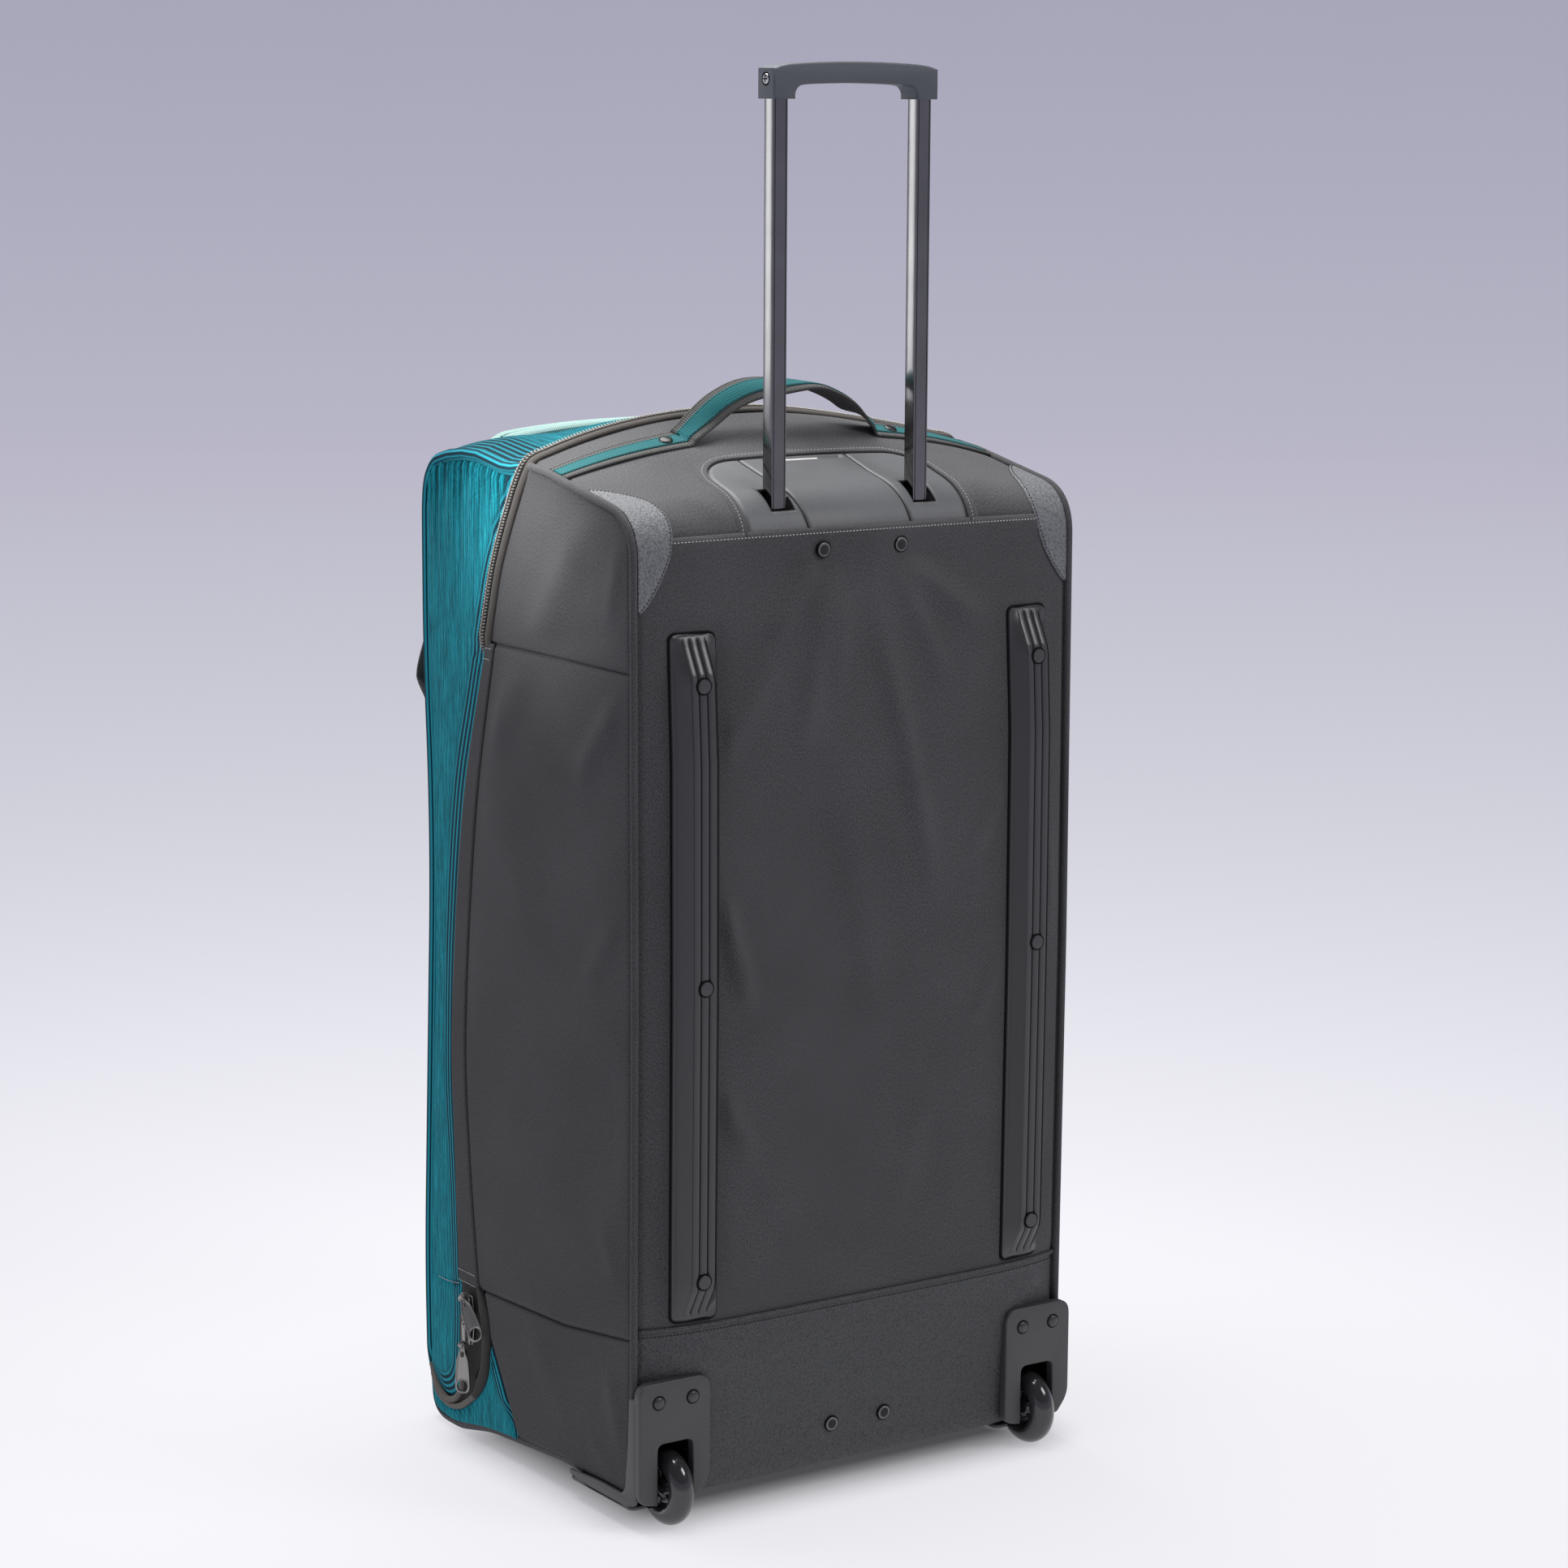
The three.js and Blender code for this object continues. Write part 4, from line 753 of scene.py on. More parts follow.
# Folds: from x, z to x, z, half width and height
BACK_FOLDS = [
    (-40, 745, -90, 690, 9, 2.0), (-30, 735, -62, 600, 11, 1.6), (-20, 720, -30, 640, 9, 1.2),
    (11, 700, 66, 470, 10, 1.9), (-140, 500, -108, 405, 9, 2.6), (-140, 345, -105, 285, 9, 1.8),
    (37, 742, 118, 685, 11, 2.0), (30, 738, 78, 640, 10, 1.4), (-138, 600, -70, 700, 12, 1.6),
    (135, 560, 96, 500, 10, 1.5), (135, 420, 100, 360, 10, 1.2), (-20, 560, 10, 380, 16, 1.0),
    (-100, 260, -40, 190, 14, 1.2), (60, 330, 30, 220, 14, 1.0), (182, 520, 190, 440, 6, 1.2),
    (-185, 620, -180, 540, 6, 1.2), (-182, 330, -186, 260, 6, 1.0), (184, 330, 180, 240, 6, 1.0),
]


def back_relief(s, x):
    z = outline_at(s)[0][..., 1]
    edge_fade = smoothstep(0, 30, WRAP_HALF - np.abs(x))
    lift = (2.7 * creases(x, z, BACK_FOLDS) + ripple(x, z, 4, 150, 1.1, 1.6)) * edge_fade
    lift *= smoothstep(0, 18, s - PLACE["base"]) * smoothstep(0, 14, PLACE["hem"] - s)
    beside_rail = np.maximum(np.abs(np.abs(x) - RAIL_X), np.abs(z - RAIL_MIDDLE) - 248)
    lift *= smoothstep(21, 30, beside_rail)
    hem = 0.9 * smoothstep(PLACE["hem"] - 9.5, PLACE["hem"] - 7.5, s)
    return lift + hem - 0.6 * smoothstep(12, 2, s - PLACE["base"]) - beside_piping(x)


UNDER_PIPING = WRAP_HALF + 2.4
place(panel("back_cloth", np.linspace(PLACE["base"] - 2, PLACE["hem"] + 0.6, 150), across(UNDER_PIPING, 110),
            back_relief, GREY, thick=1.6), nodes=["back_panel"])


def off_well(middle):
    """Where the cloth isn't cut away for the wheels."""
    x, y, z = np.abs(middle[:, 0]), middle[:, 1], middle[:, 2]
    return (np.abs(x - WHEEL_X) >= WELL_HALF) | (z >= WELL_TOP - 1) | (y >= WELL_DEEP + 1)


def base_relief(s, x):
    z = outline_at(s)[0][..., 1]
    fade = smoothstep(0, 25, WRAP_HALF - np.abs(x)) * smoothstep(2, 20, PLACE["base"] - s)
    folds = [(-195, 150, -120, 118, 10, 2.2), (195, 148, 130, 122, 10, 1.6), (-60, 100, 60, 92, 20, 0.8)]
    upright = smoothstep(16, 40, z)
    return (creases(x, z, folds) + ripple(x, s, 9, 120, 0.5)) * fade * upright - beside_piping(x)


base_s = np.linspace(PLACE["under"], PLACE["base"], 96)
place(panel("base_cloth", base_s, across(UNDER_PIPING, 120), base_relief, GRAINED, keep=off_well, thick=1.6),
      nodes=["base_patch"])


def on_wrap(s, x, out, **form):
    """A line on the wrapped panels: its points and the directions out from the cloth."""
    return wrap(s, x, out, **form), wrap_normal(s, x, **form)


line = np.linspace(-WRAP_HALF, WRAP_HALF, 90)
place(piece_of("base_bead", GRAINED, sweep(*on_wrap(PLACE["base"], line, 0.3), ellipse(1.9, 1.5, 12))))
stitches(dark, *on_wrap(PLACE["base"] - 5, line, 0.15), 3.1, (1.15, 0.42, 0.45))
stitches(pale, *on_wrap(PLACE["hem"] - 3.4, line, 1.0), 3.1, (0.95, 0.40, 0.45))

# Top panel with the trolley plate let into it

PLATE_HALF, PLATE_CORNER = 105.0, 32.0
PLATE_TOP = station(76, 803)
PLATE_INNER = PLATE_HALF - PLATE_CORNER
PLATE_SEAMS = ((-48, -16), (48, -12))


def plate_distance(s, x):
    """How far a point lies outside the plate's outline, which is open at the hem."""
    dx = np.abs(x) - PLATE_INNER
    ds = s - (PLATE_TOP - PLATE_CORNER)
    outside = np.hypot(np.maximum(dx, 0), np.maximum(ds, 0))
    return outside + np.minimum(np.maximum(dx, ds), 0) - PLATE_CORNER


TOP_FOLDS = [(-150, 40, -118, 10, 9, 1.2), (140, 60, 118, 12, 9, 1.4), (-60, 122, 60, 126, 9, 0.8)]
top_s = np.concatenate([np.linspace(PLACE["hem"] - 4, PLATE_TOP + 12, 70),
                        np.linspace(PLATE_TOP + 14, PLACE["zip_back"] + 1, 24)])
top_x = np.unique(np.concatenate([across(UNDER_PIPING, 90), np.linspace(-116, 116, 90)]))
ss, xx = np.meshgrid(top_s, top_x, indexing="ij")
top_lift = -0.5 * smoothstep(PLACE["hem"] + 4, PLACE["hem"], ss) + ripple(xx, ss, 21, 90, 0.45)
top_lift += creases(xx, ss - PLACE["hem"], TOP_FOLDS) - beside_piping(xx)
plate_far = middles(plate_distance(ss, xx))
place(cloth_sheet("top_cloth", wrap(ss, xx, top_lift), np.stack([xx, ss], -1), TOP_GREY_LIT,
                  keep=lambda m: plate_far > 2.5), nodes=["top_panel"])

corner = np.linspace(0, math.pi / 2, 14)
rim_x = np.concatenate([[-PLATE_HALF] * 20, -PLATE_INNER - PLATE_CORNER * np.cos(corner),
                        np.linspace(-PLATE_INNER, PLATE_INNER, 30)[1:-1],
                        PLATE_INNER + PLATE_CORNER * np.sin(corner), [PLATE_HALF] * 20])
straight = np.linspace(PLACE["hem"] - 2, PLATE_TOP - PLATE_CORNER, 21)[:-1]
rim_s = np.concatenate([straight, PLATE_TOP - PLATE_CORNER + PLATE_CORNER * np.sin(corner), [PLATE_TOP] * 28,
                        PLATE_TOP - PLATE_CORNER + PLATE_CORNER * np.cos(corner), straight[::-1]])
RIM = [(1.2, -2.2), (1.2, 0.5), (0.7, 0.95), (-0.4, 1.05), (-2.6, 0.9), (-5.5, 0.55), (-9, -0.4), (-9, -1.4)]
place(piece_of("plate_border", TOP_GREY_LIT, sweep(*on_wrap(rim_s, rim_x, 0.0), RIM)))
rim_path, rim_up = on_wrap(rim_s, rim_x, 0.85)
rim_side = np.cross(unit(np.gradient(rim_path, axis=0)), rim_up)
stitches(pale, rim_path - 3.0 * rim_side, rim_up, 3.1, (0.95, 0.36, 0.4))

SLOT_X, SLOT_Y = 11.0, 10.0
slot_s = [station(TUBE_Y - SLOT_Y - 3, 784), station(TUBE_Y + SLOT_Y, 793)]
plate_s = np.unique(np.concatenate([np.linspace(PLACE["hem"] - 3, PLATE_TOP + 0.8, 66), slot_s]))
slot_edges = [side * TUBE_X + k * SLOT_X for side in (-1, 1) for k in (-1, 1)]
plate_x = np.unique(np.concatenate([np.linspace(-PLATE_HALF - 0.8, PLATE_HALF + 0.8, 210), slot_edges]))
ps, px = np.meshgrid(plate_s, plate_x, indexing="ij")


def up_plate(s):
    """How far up the plate a place is, as a share of its height."""
    return (s - PLACE["hem"]) / (PLATE_TOP - PLACE["hem"])


plate_lift = -1.9 + 2.2 * smoothstep(0, 5, -plate_distance(ps, px))
for seam_x, lean in PLATE_SEAMS:
    plate_lift -= 1.5 * np.exp(-((px - seam_x - lean * up_plate(ps)) / 1.2)**2)
slot_gap = np.maximum(np.abs(np.abs(px) - TUBE_X) - SLOT_X, np.maximum(slot_s[0] - ps, ps - slot_s[1]))
plate_lift -= 0.7 * np.exp(-(np.maximum(slot_gap, 0) / 1.6)**2)
SLIT_S = PLATE_TOP - 8
slit = np.maximum(np.abs(px + 6) - 36, np.abs(ps - SLIT_S) - 1.4)
plate_lift -= 1.6 * (1 - smoothstep(-0.5, 1.5, slit))
slot_middle, rim_middle = middles(slot_gap), middles(plate_distance(ps, px))
place(cloth_sheet("trolley_plate", wrap(ps, px, plate_lift), np.stack([px, ps], -1), PLATE,
                  keep=lambda m: (slot_middle > 0) & (rim_middle < 1.0), thick=3.0),
      nodes=["handle_plate"])

# Near-black walls inside the plate's slots, down to the handle's guides: painted shade in the slots
SLEEVE_FOOT = 757.0
SLEEVE_X, SLEEVE_BACK, SLEEVE_FRONT = SLOT_X + 0.6, -SLOT_Y - 3, SLOT_Y + 0.6
sleeve = rounded_loop([(-SLEEVE_X, SLEEVE_BACK, 2), (SLEEVE_X, SLEEVE_BACK, 2), (SLEEVE_X, SLEEVE_FRONT, 2),
                       (-SLEEVE_X, SLEEVE_FRONT, 2)], 5)
sleeve_faces = grid_faces(5, len(sleeve), True) % (4 * len(sleeve))
sleeves = Gather()
for side, _ in SIDES:
    rings = []
    for size, at_top in ((1.0, True), (1.0, False), (0.93, False), (0.93, True)):
        x, y = (sleeve * size + [side * TUBE_X, TUBE_Y]).T
        place_s = np.array([station(v, 786 + 0.2 * v) for v in y])
        high = wrap(place_s, x, -2.2)[:, 2] if at_top else np.full(len(x), SLEEVE_FOOT)
        rings.append(np.stack([x, y, high], -1))
    sleeves.add(np.vstack(rings), sleeve_faces.tolist())
place(sleeves.piece("tube_sleeves", SHADE_BLACK))

s_line = np.linspace(PLACE["hem"] + 1, PLATE_TOP - 2, 40)
for seam_x, lean in PLATE_SEAMS:
    x_line = seam_x + lean * up_plate(s_line)
    # A near-black bead in each seam's groove, under its dark stitches: painted shade
    dark.add(*sweep(*on_wrap(s_line, x_line, -0.75), ellipse(0.9, 0.35, 10)))
    stitches(dark, *on_wrap(s_line, x_line, -0.6), 2.6, (1.1, 0.45, 0.5))

slit_line = np.linspace(-38, 8, 30)
label = sweep(*on_wrap(SLIT_S, slit_line, -0.9), ellipse(1.5, 0.5, 10))
place(piece_of("label_edge", PALE_THREAD, label))


# Lid and bottom

def beside_edge(s, x):
    """How far a point lies from the lid's sewn edge, for the stripes there."""
    return np.maximum(LID_HALF - np.abs(x) + 1.0, 0)


def lid_across(count=90):
    """Places across the lid: its flat middle and the rounding at both edges."""
    turn = np.linspace(0, math.pi / 2, 9)
    shoulder = LID_HALF - LID_SHOULDER + LID_SHOULDER * np.sin(turn)
    flat = LID_HALF - LID_SHOULDER
    return np.concatenate([-shoulder[::-1], np.linspace(-flat, flat, count)[1:-1], shoulder])


LID_FOLDS = [
    (-170, 560, -70, 500, 16, 2.2), (-165, 715, -60, 660, 16, 2.0), (-180, 90, -70, 190, 20, 2.4),
    (180, 90, 80, 200, 20, 2.4), (175, 720, 60, 640, 18, 2.2), (30, 420, -30, 260, 26, 1.6),
    (150, 420, 110, 300, 18, 1.6), (-150, 380, -120, 280, 16, 1.4),
]


def lid_relief(s, x):
    fade = smoothstep(4, 45, LID_HALF - np.abs(x)) * smoothstep(0, 30, PLACE["lid_foot"] - s)
    folds = creases(x, outline_at(s)[0][..., 1], LID_FOLDS) * smoothstep(0, 40, s - PLACE["lid_fold"])
    return (ripple(x, s, 33, 170, 1.5, 1.5) + folds) * fade


def lid_rise(s, x):
    """The lid's top edges dip beside the zip and swell up towards the front corner."""
    point, normal = outline_at(s)
    rise = np.interp(point[..., 0], *LID_RISE)
    rise = rise * smoothstep(760, 800, point[..., 1]) * smoothstep(110, 190, np.abs(x))
    return rise[..., None] * np.stack([np.zeros_like(rise), normal[..., 0], normal[..., 1]], -1)


lid = dict(half=LID_HALF, shoulder=LID_SHOULDER)
lid_top_s = np.linspace(PLACE["zip_front"] - 1, PLACE["lid_fold"], 80)
lid_front_s = np.linspace(PLACE["lid_fold"], PLACE["lid_foot"], 130)
for name, s_line, material in (("lid_top", lid_top_s, TEAL_TOP_SHADED), ("lid_front", lid_front_s, TEAL)):
    place(panel(f"{name}_cloth", s_line, lid_across(), lid_relief, material, edge=beside_edge, rise=lid_rise,
                **lid), nodes=[name])
bottom_end = PLACE["under"] + LOOP_LENGTH
place(panel("bottom_cloth", np.linspace(PLACE["lid_foot"], bottom_end, 70), lid_across(50), 0.0, GREY,
            keep=off_well, **lid), nodes=["bottom_panel"])

# The seam between the lid's top and front
lid_line = np.linspace(-196, 196, 80)
fold_s = np.full_like(lid_line, PLACE["lid_fold"])
fold_path, fold_up = on_wrap(fold_s, lid_line, lid_relief(fold_s, lid_line) + 0.1, **lid)
fold_path = fold_path + lid_rise(fold_s, lid_line)
place(piece_of("lid_seam", TEAL, sweep(fold_path, fold_up, ellipse(2.4, 0.9, 10))))

# Sides

# How far panels end inside the outline: under the piping, and at the foot
PIPED, FOOT_INSET = 1.0, 3.2
zip_line = spline(ZIP_LINE[::-1], 60)
flap_front = spline(FLAP_FRONT[::-1], 120)
flap_fold = spline(FLAP_FOLD[::-1], 120)


def edge_line(start, end, inset, count):
    """A stretch of the outline, set in from it."""
    point, normal = outline_at(np.linspace(start, end, count))
    return point - inset * normal


def seam_z(y):
    return np.interp(y, *np.array(LOWER_SEAM, float).T)


def distances(grid):
    """Distance of each grid point from the left, right, bottom and top edges."""
    step_u = np.linalg.norm(np.diff(grid, axis=1), axis=2)
    step_v = np.linalg.norm(np.diff(grid, axis=0), axis=2)
    left = np.concatenate([np.zeros((len(grid), 1)), np.cumsum(step_u, 1)], 1)
    bottom = np.concatenate([np.zeros((1, grid.shape[1])), np.cumsum(step_v, 0)], 0)
    return left, left[:, -1:] - left, bottom, bottom[-1:] - bottom


def side_patch(name, side, edges, size, material, dips, bulge, nodes=(), relief=None,
               base=SIDE_OUT, edge_from=None, shade=None):
    """A side panel between four edges (bottom, top, left, right), domed, its rim pulled in at the seams.

    The dips, each a depth and a reach, belong to the left, right, bottom and top edges in this order.
    """
    columns, rows = size
    bottom, top, left, right = (resample(e, n) for e, n in zip(edges, (columns, columns, rows, rows)))
    flat = coons(bottom, top, left, right)
    far = distances(flat)
    out = np.full(flat.shape[:2], base)
    dome = np.ones(flat.shape[:2])
    for distance, (depth, reach) in zip(far, dips):
        out -= depth * (1 - smoothstep(0, reach, distance))
        dome *= 1 - np.exp(-distance / 28)
    out += bulge * dome
    if relief is not None:
        out += relief(flat[..., 0], flat[..., 1], far)
    grid = np.stack([side * out, flat[..., 0], flat[..., 1]], -1)
    edge = None if edge_from is None else edge_from(flat[..., 0], flat[..., 1], far)
    coords = flat if shade is None else np.dstack([flat, shade(flat[..., 0], flat[..., 1], far)])
    piece = cloth_sheet(f"{name}_{dict(SIDES)[side]}", grid, coords, material, edge=edge, thick=1.4)
    place(piece, nodes=nodes)


# Folds: from y, z to y, z, half width and height
UPPER_FOLDS = [(42, 790, 152, 655, 21, 4.2), (120, 665, 20, 700, 18, -1.6), (120, 790, 60, 740, 14, 1.2),
               (30, 700, 8, 770, 10, 1.6)]
MIDDLE_FOLDS = [(150, 660, 205, 585, 20, 2.2), (70, 580, 8, 650, 12, 1.8), (210, 560, 120, 420, 26, 1.2),
                (60, 420, 12, 480, 12, 1.0), (200, 300, 90, 240, 26, 1.0), (40, 240, 10, 190, 12, 1.0)]
LOWER_FOLDS = [(30, 120, 12, 60, 10, 1.8), (150, 125, 90, 50, 16, 1.4), (60, 60, 20, 35, 8, 1.2)]
zip_inner = spline(ZIP_END_INNER, 90)
zip_outer = spline(ZIP_END_OUTER, 120)


def beside(path, shift):
    """A line beside another one, to the right of its direction as the bag's left side is seen."""
    along = unit(np.gradient(path, axis=0))
    return path + np.reshape(shift, (-1, 1)) * np.stack([-along[:, 1], along[:, 0]], -1)


def wedge_stripes(y, z, far):
    return far[0] + 30 * smoothstep(50, 22, z) * smoothstep(165, 195, y)


def wedge_gathers(y, z, far):
    return 0.8 * np.sin(far[2] / 1.3) * np.exp(-far[1] / 12) * smoothstep(0, 4, far[1])


def pleats(y, far):
    """Gathers below the lid's top edge."""
    reach = 32 + 14 * np.sin(y / 5)
    return np.sin(y / 1.5 + 1.1 * np.sin(y / 7)) * np.exp(-far[3] / reach) * smoothstep(0, 5, far[3])


def gathers(y, z, far):
    """The lid's side: its pleats and the two seams across it."""
    seams = -1.1 * np.exp(-((z - (671 - 0.005 * (y - 283)**2)) / 1.4)**2)
    seams += -1.1 * np.exp(-((z - (128 - 0.004 * (y - 264) * (321 - y))) / 1.4)**2)
    return 3.0 * pleats(y, far) + seams + ripple(y, z, 17, 80, 0.6)


def pleat_shade(y, z, far):
    return 0.92 * np.clip(-pleats(y, far) * 1.8 - 0.12, 0, 1)


def folded(folds, gain, reach):
    """Relief of a side panel's folds, which fade towards its edges."""
    return lambda y, z, far: gain * creases(y, z, folds) * smoothstep(0, reach, np.minimum.reduce(far))


def middle_relief(y, z, far):
    lift = 1.6 * creases(y, z, MIDDLE_FOLDS) + ripple(y, z, 12, 140, 0.7)
    return lift * smoothstep(0, 30, np.minimum.reduce(far))


PIPED_DIP = (4.0, 4.5)
lowest = station(-4, seam_z(0))
side_seam = station(-5, SIDE_SEAM_Z)
for side, name in SIDES:
    behind = zip_line - [5.2, 0]
    # Above the seam
    back_edge = edge_line(side_seam, station(8, 783), PIPED, 60)
    top_edge = edge_line(station(8, 783), PLACE["zip_back"] - 3, PIPED, 60)
    seam_edge = np.array([(back_edge[0][0], SIDE_SEAM_Z), (behind[0][0], SIDE_SEAM_Z)])
    right_edge = np.vstack([behind[:-4], top_edge[-1:]])
    side_patch("side_upper_cloth", side, (seam_edge, top_edge, back_edge, right_edge), (70, 60), SIDE_GREY_SHADED,
               (PIPED_DIP, (0.6, 4), (1.6, 3), PIPED_DIP), 3.0, [f"side_upper_{name}"],
               folded(UPPER_FOLDS, 1.1, 25))
    # Between the seams
    back_edge = edge_line(lowest, side_seam, PIPED, 120)
    fold_edge = flap_fold + [1.5, 0]
    low_y = np.linspace(back_edge[0][0], fold_edge[0][0], 60)
    low_edge = np.stack([low_y, seam_z(low_y)], -1)
    low_edge[-1] = fold_edge[0]
    high_edge = np.array([back_edge[-1], fold_edge[-1]])
    side_patch("side_middle_cloth", side, (low_edge, high_edge, back_edge, fold_edge), (80, 130), SIDE_GREY_SHADED,
               (PIPED_DIP, (0.4, 3), (1.6, 3), (1.6, 3)), 3.5, [f"side_middle_{name}"], middle_relief)
    # The flap over the zip
    ends = [np.array([flap_fold[k], flap_front[k]]) for k in (0, -1)]
    side_patch("flap_cloth", side, (*ends, flap_fold, flap_front), (16, 120), SIDE_GREY_SHADED,
               ((1.0, 1.6), (1.2, 2.2), (0.3, 2), (0.3, 2)), 0.8, [f"zip_flap_{name}"], base=SIDE_OUT + 1.6)
    # Below the lower seam
    back_edge = edge_line(station(-3, 24), lowest, PIPED, 50)
    wedge = resample(np.vstack([WEDGE, [(219.5, 112), (226, seam_z(226))]]), 50)
    foot_edge = edge_line(station(-3, 24), station(171, 16) - LOOP_LENGTH, FOOT_INSET, 60)
    seam_top = np.stack([np.linspace(back_edge[-1][0], wedge[-1][0], 60)] * 2, -1)
    seam_top[:, 1] = seam_z(seam_top[:, 0])
    wedge[0] = foot_edge[-1]
    side_patch("side_lower_cloth", side, (foot_edge, seam_top, back_edge, wedge), (70, 46), SIDE_GREY_SHADED,
               (PIPED_DIP, (1.0, 2.5), (3.0, 9), (1.6, 3)), 2.5, [f"side_lower_{name}"],
               folded(LOWER_FOLDS, 1.0, 16))
    # A teal wedge between that and the end of the zip
    under_start, under_end = station(171, 16) - LOOP_LENGTH, station(312, 4) - LOOP_LENGTH
    under_edge = edge_line(under_start, under_end, LID_SHOULDER * 0.6, 60)
    slant = resample(WEDGE, 50)
    slant[0] = wedge[0]
    apex = np.argmin(np.hypot(*(zip_outer - [216, 96]).T))
    bend = np.argmin(np.hypot(*(zip_outer[:apex] - [241, 37]).T))
    outer_edge = np.vstack([resample(under_edge[::-1], 71)[:-1], slant])
    tail_edge = np.vstack([resample(zip_outer[1:bend + 1], 71)[:-1], resample(zip_outer[bend:apex + 1], 50)])
    ends = [np.array([outer_edge[k], tail_edge[k]]) for k in (0, -1)]
    side_patch("side_wedge_cloth", side, (*ends, outer_edge, tail_edge), (34, 120), TEAL,
               ((3.0, 9), (0.8, 3), (1.0, 2.5), (1.2, 3)), 2.2, edge_from=wedge_stripes,
               relief=wedge_gathers)
    # The dark lining seen where the zip is open at its end
    ends = [np.array([zip_inner[k], zip_outer[k]]) for k in (0, -1)]
    side_patch("zip_end_lining", side, (*ends, zip_inner, zip_outer), (14, 90), BLACK_TAPE, ((0, 1),) * 4,
               0.0, base=SIDE_OUT - 1.0,
               relief=lambda y, z, far: -2.5 * smoothstep(296, 314, y))
    # The lid's side
    lead = np.vstack([zip_inner[:-4], flap_front[2:-1] - [2.2, 0], (zip_line + [0.5, 0])[1:-3]])
    lid_top_edge = edge_line(PLACE["zip_front"] + 5, PLACE["lid_corner"], LID_SHOULDER * 0.55, 40)
    lid_front_edge = edge_line(station(321, 44), PLACE["lid_corner"], LID_SHOULDER * 0.55, 140)
    for edge in (lid_top_edge, lid_front_edge):
        edge[:, 1] += np.interp(edge[:, 0], *LID_RISE) * smoothstep(760, 796, edge[:, 1])
    lead[-1] = lid_top_edge[0]
    lid_low = np.array([lead[0], lid_front_edge[0]])
    side_patch("lid_side_cloth", side, (lid_low, lid_top_edge, lead, lid_front_edge), (110, 190), TEAL,
               ((2.0, 4), (3.0, 8), (0.5, 3), (3.0, 8)), 2.5, [f"lid_side_{name}"], gathers,
               base=LID_HALF, edge_from=lambda y, z, far: np.maximum(far[0] - 2.6, 0), shade=pleat_shade)

# Piping, lid binding and corner patches

for side, name in SIDES:
    s_line = np.linspace(station(-3, 26), PLACE["zip_back"] - 1, 260)
    point, normal = outline_at(s_line)
    path = at_x(side * EDGE_X, point)
    path[:, 2] -= 2.2 * smoothstep(112, 147, point[:, 0])
    cord = sweep(path, at_x(0.0, normal), ellipse(PIPING_R, PIPING_R, 18))
    place(piece_of(f"piping_cloth_{name}", GREY, cord), nodes=[f"piping_{name}"])

    s_line = np.linspace(PLACE["zip_front"] + 2, PLACE["lid_foot"] + 10, 260)
    slant = LID_HALF - LID_SHOULDER + LID_SHOULDER * math.sin(math.radians(50))
    x_line = np.full(len(s_line), side * slant)
    taper = smoothstep(0, 40, s_line[-1] - s_line)
    path = wrap(s_line, x_line, 1.6 * taper - 0.8, **lid) + lid_rise(s_line, x_line)
    outer = wrap(s_line, x_line, 5.0, **lid) - wrap(s_line, x_line, 0.0, **lid)
    profile = ellipse(4.0, 3.0, 20)[None] * (0.25 + 0.75 * taper)[:, None, None]
    points, faces, measure = sweep(path, outer, profile)
    place(finish_mesh(f"lid_binding_{name}", points, faces, TEAL, measure, edge=measure[:, 0] * 1.1,
                      closed=True))

    rows = np.linspace(station(-5, 715), station(66, 801), 70)
    turn = math.pi * (rows - rows[0]) / (rows[-1] - rows[0])
    inner_x = WRAP_HALF - 2 - 31 * np.sin(turn)**0.8
    share = np.linspace(0, 1, 22)
    s_grid = np.repeat(rows[:, None], 22, 1)
    x_grid = side * (inner_x[:, None] * (1 - share) + WRAP_HALF * share)
    lift = 1.5 - 1.1 * (1 - smoothstep(0, 0.06, share))[None] + 0 * s_grid
    coords = np.stack([x_grid, s_grid], -1)
    place(cloth_sheet(f"corner_cloth_{name}", wrap(s_grid, x_grid, lift), coords, PATCH),
          nodes=[f"corner_patch_{name}"])
    stitches(dark, *on_wrap(rows, side * (inner_x + 2.4), 1.5), 3.0, (1.15, 0.42, 0.5))

# Zips

zip_x = np.linspace(-186, 186, 80)
left_run = at_x(-(SIDE_OUT + 0.6), zip_line)[:-3]
top_run = wrap(ZIP_TOP, zip_x, 0.5)
turn_left = np.array([(-204.6, 155.5, 809.5), (-199.5, 153.0, 818.0)])
left_run = np.vstack([[(-(SIDE_OUT - 3.4), 217.5, 658.0)], left_run, turn_left])
zip_path = np.vstack([left_run[:-2:3], left_run[-2:], top_run[::3], top_run[-1:]])
zip_path = np.vstack([zip_path, (left_run[-2:] * [-1, 1, 1])[::-1], (left_run[:-2:3] * [-1, 1, 1])[::-1]])
zip_path = resample(spline(zip_path, 400), 420)
top_up = wrap_normal(ZIP_TOP, np.clip(zip_path[:, 0], -190, 190))
flank = smoothstep(190, 206, np.abs(zip_path[:, 0]))[:, None]
zip_up = unit(top_up * (1 - flank) + flank * np.sign(zip_path[:, :1]) * [1, 0, 0])

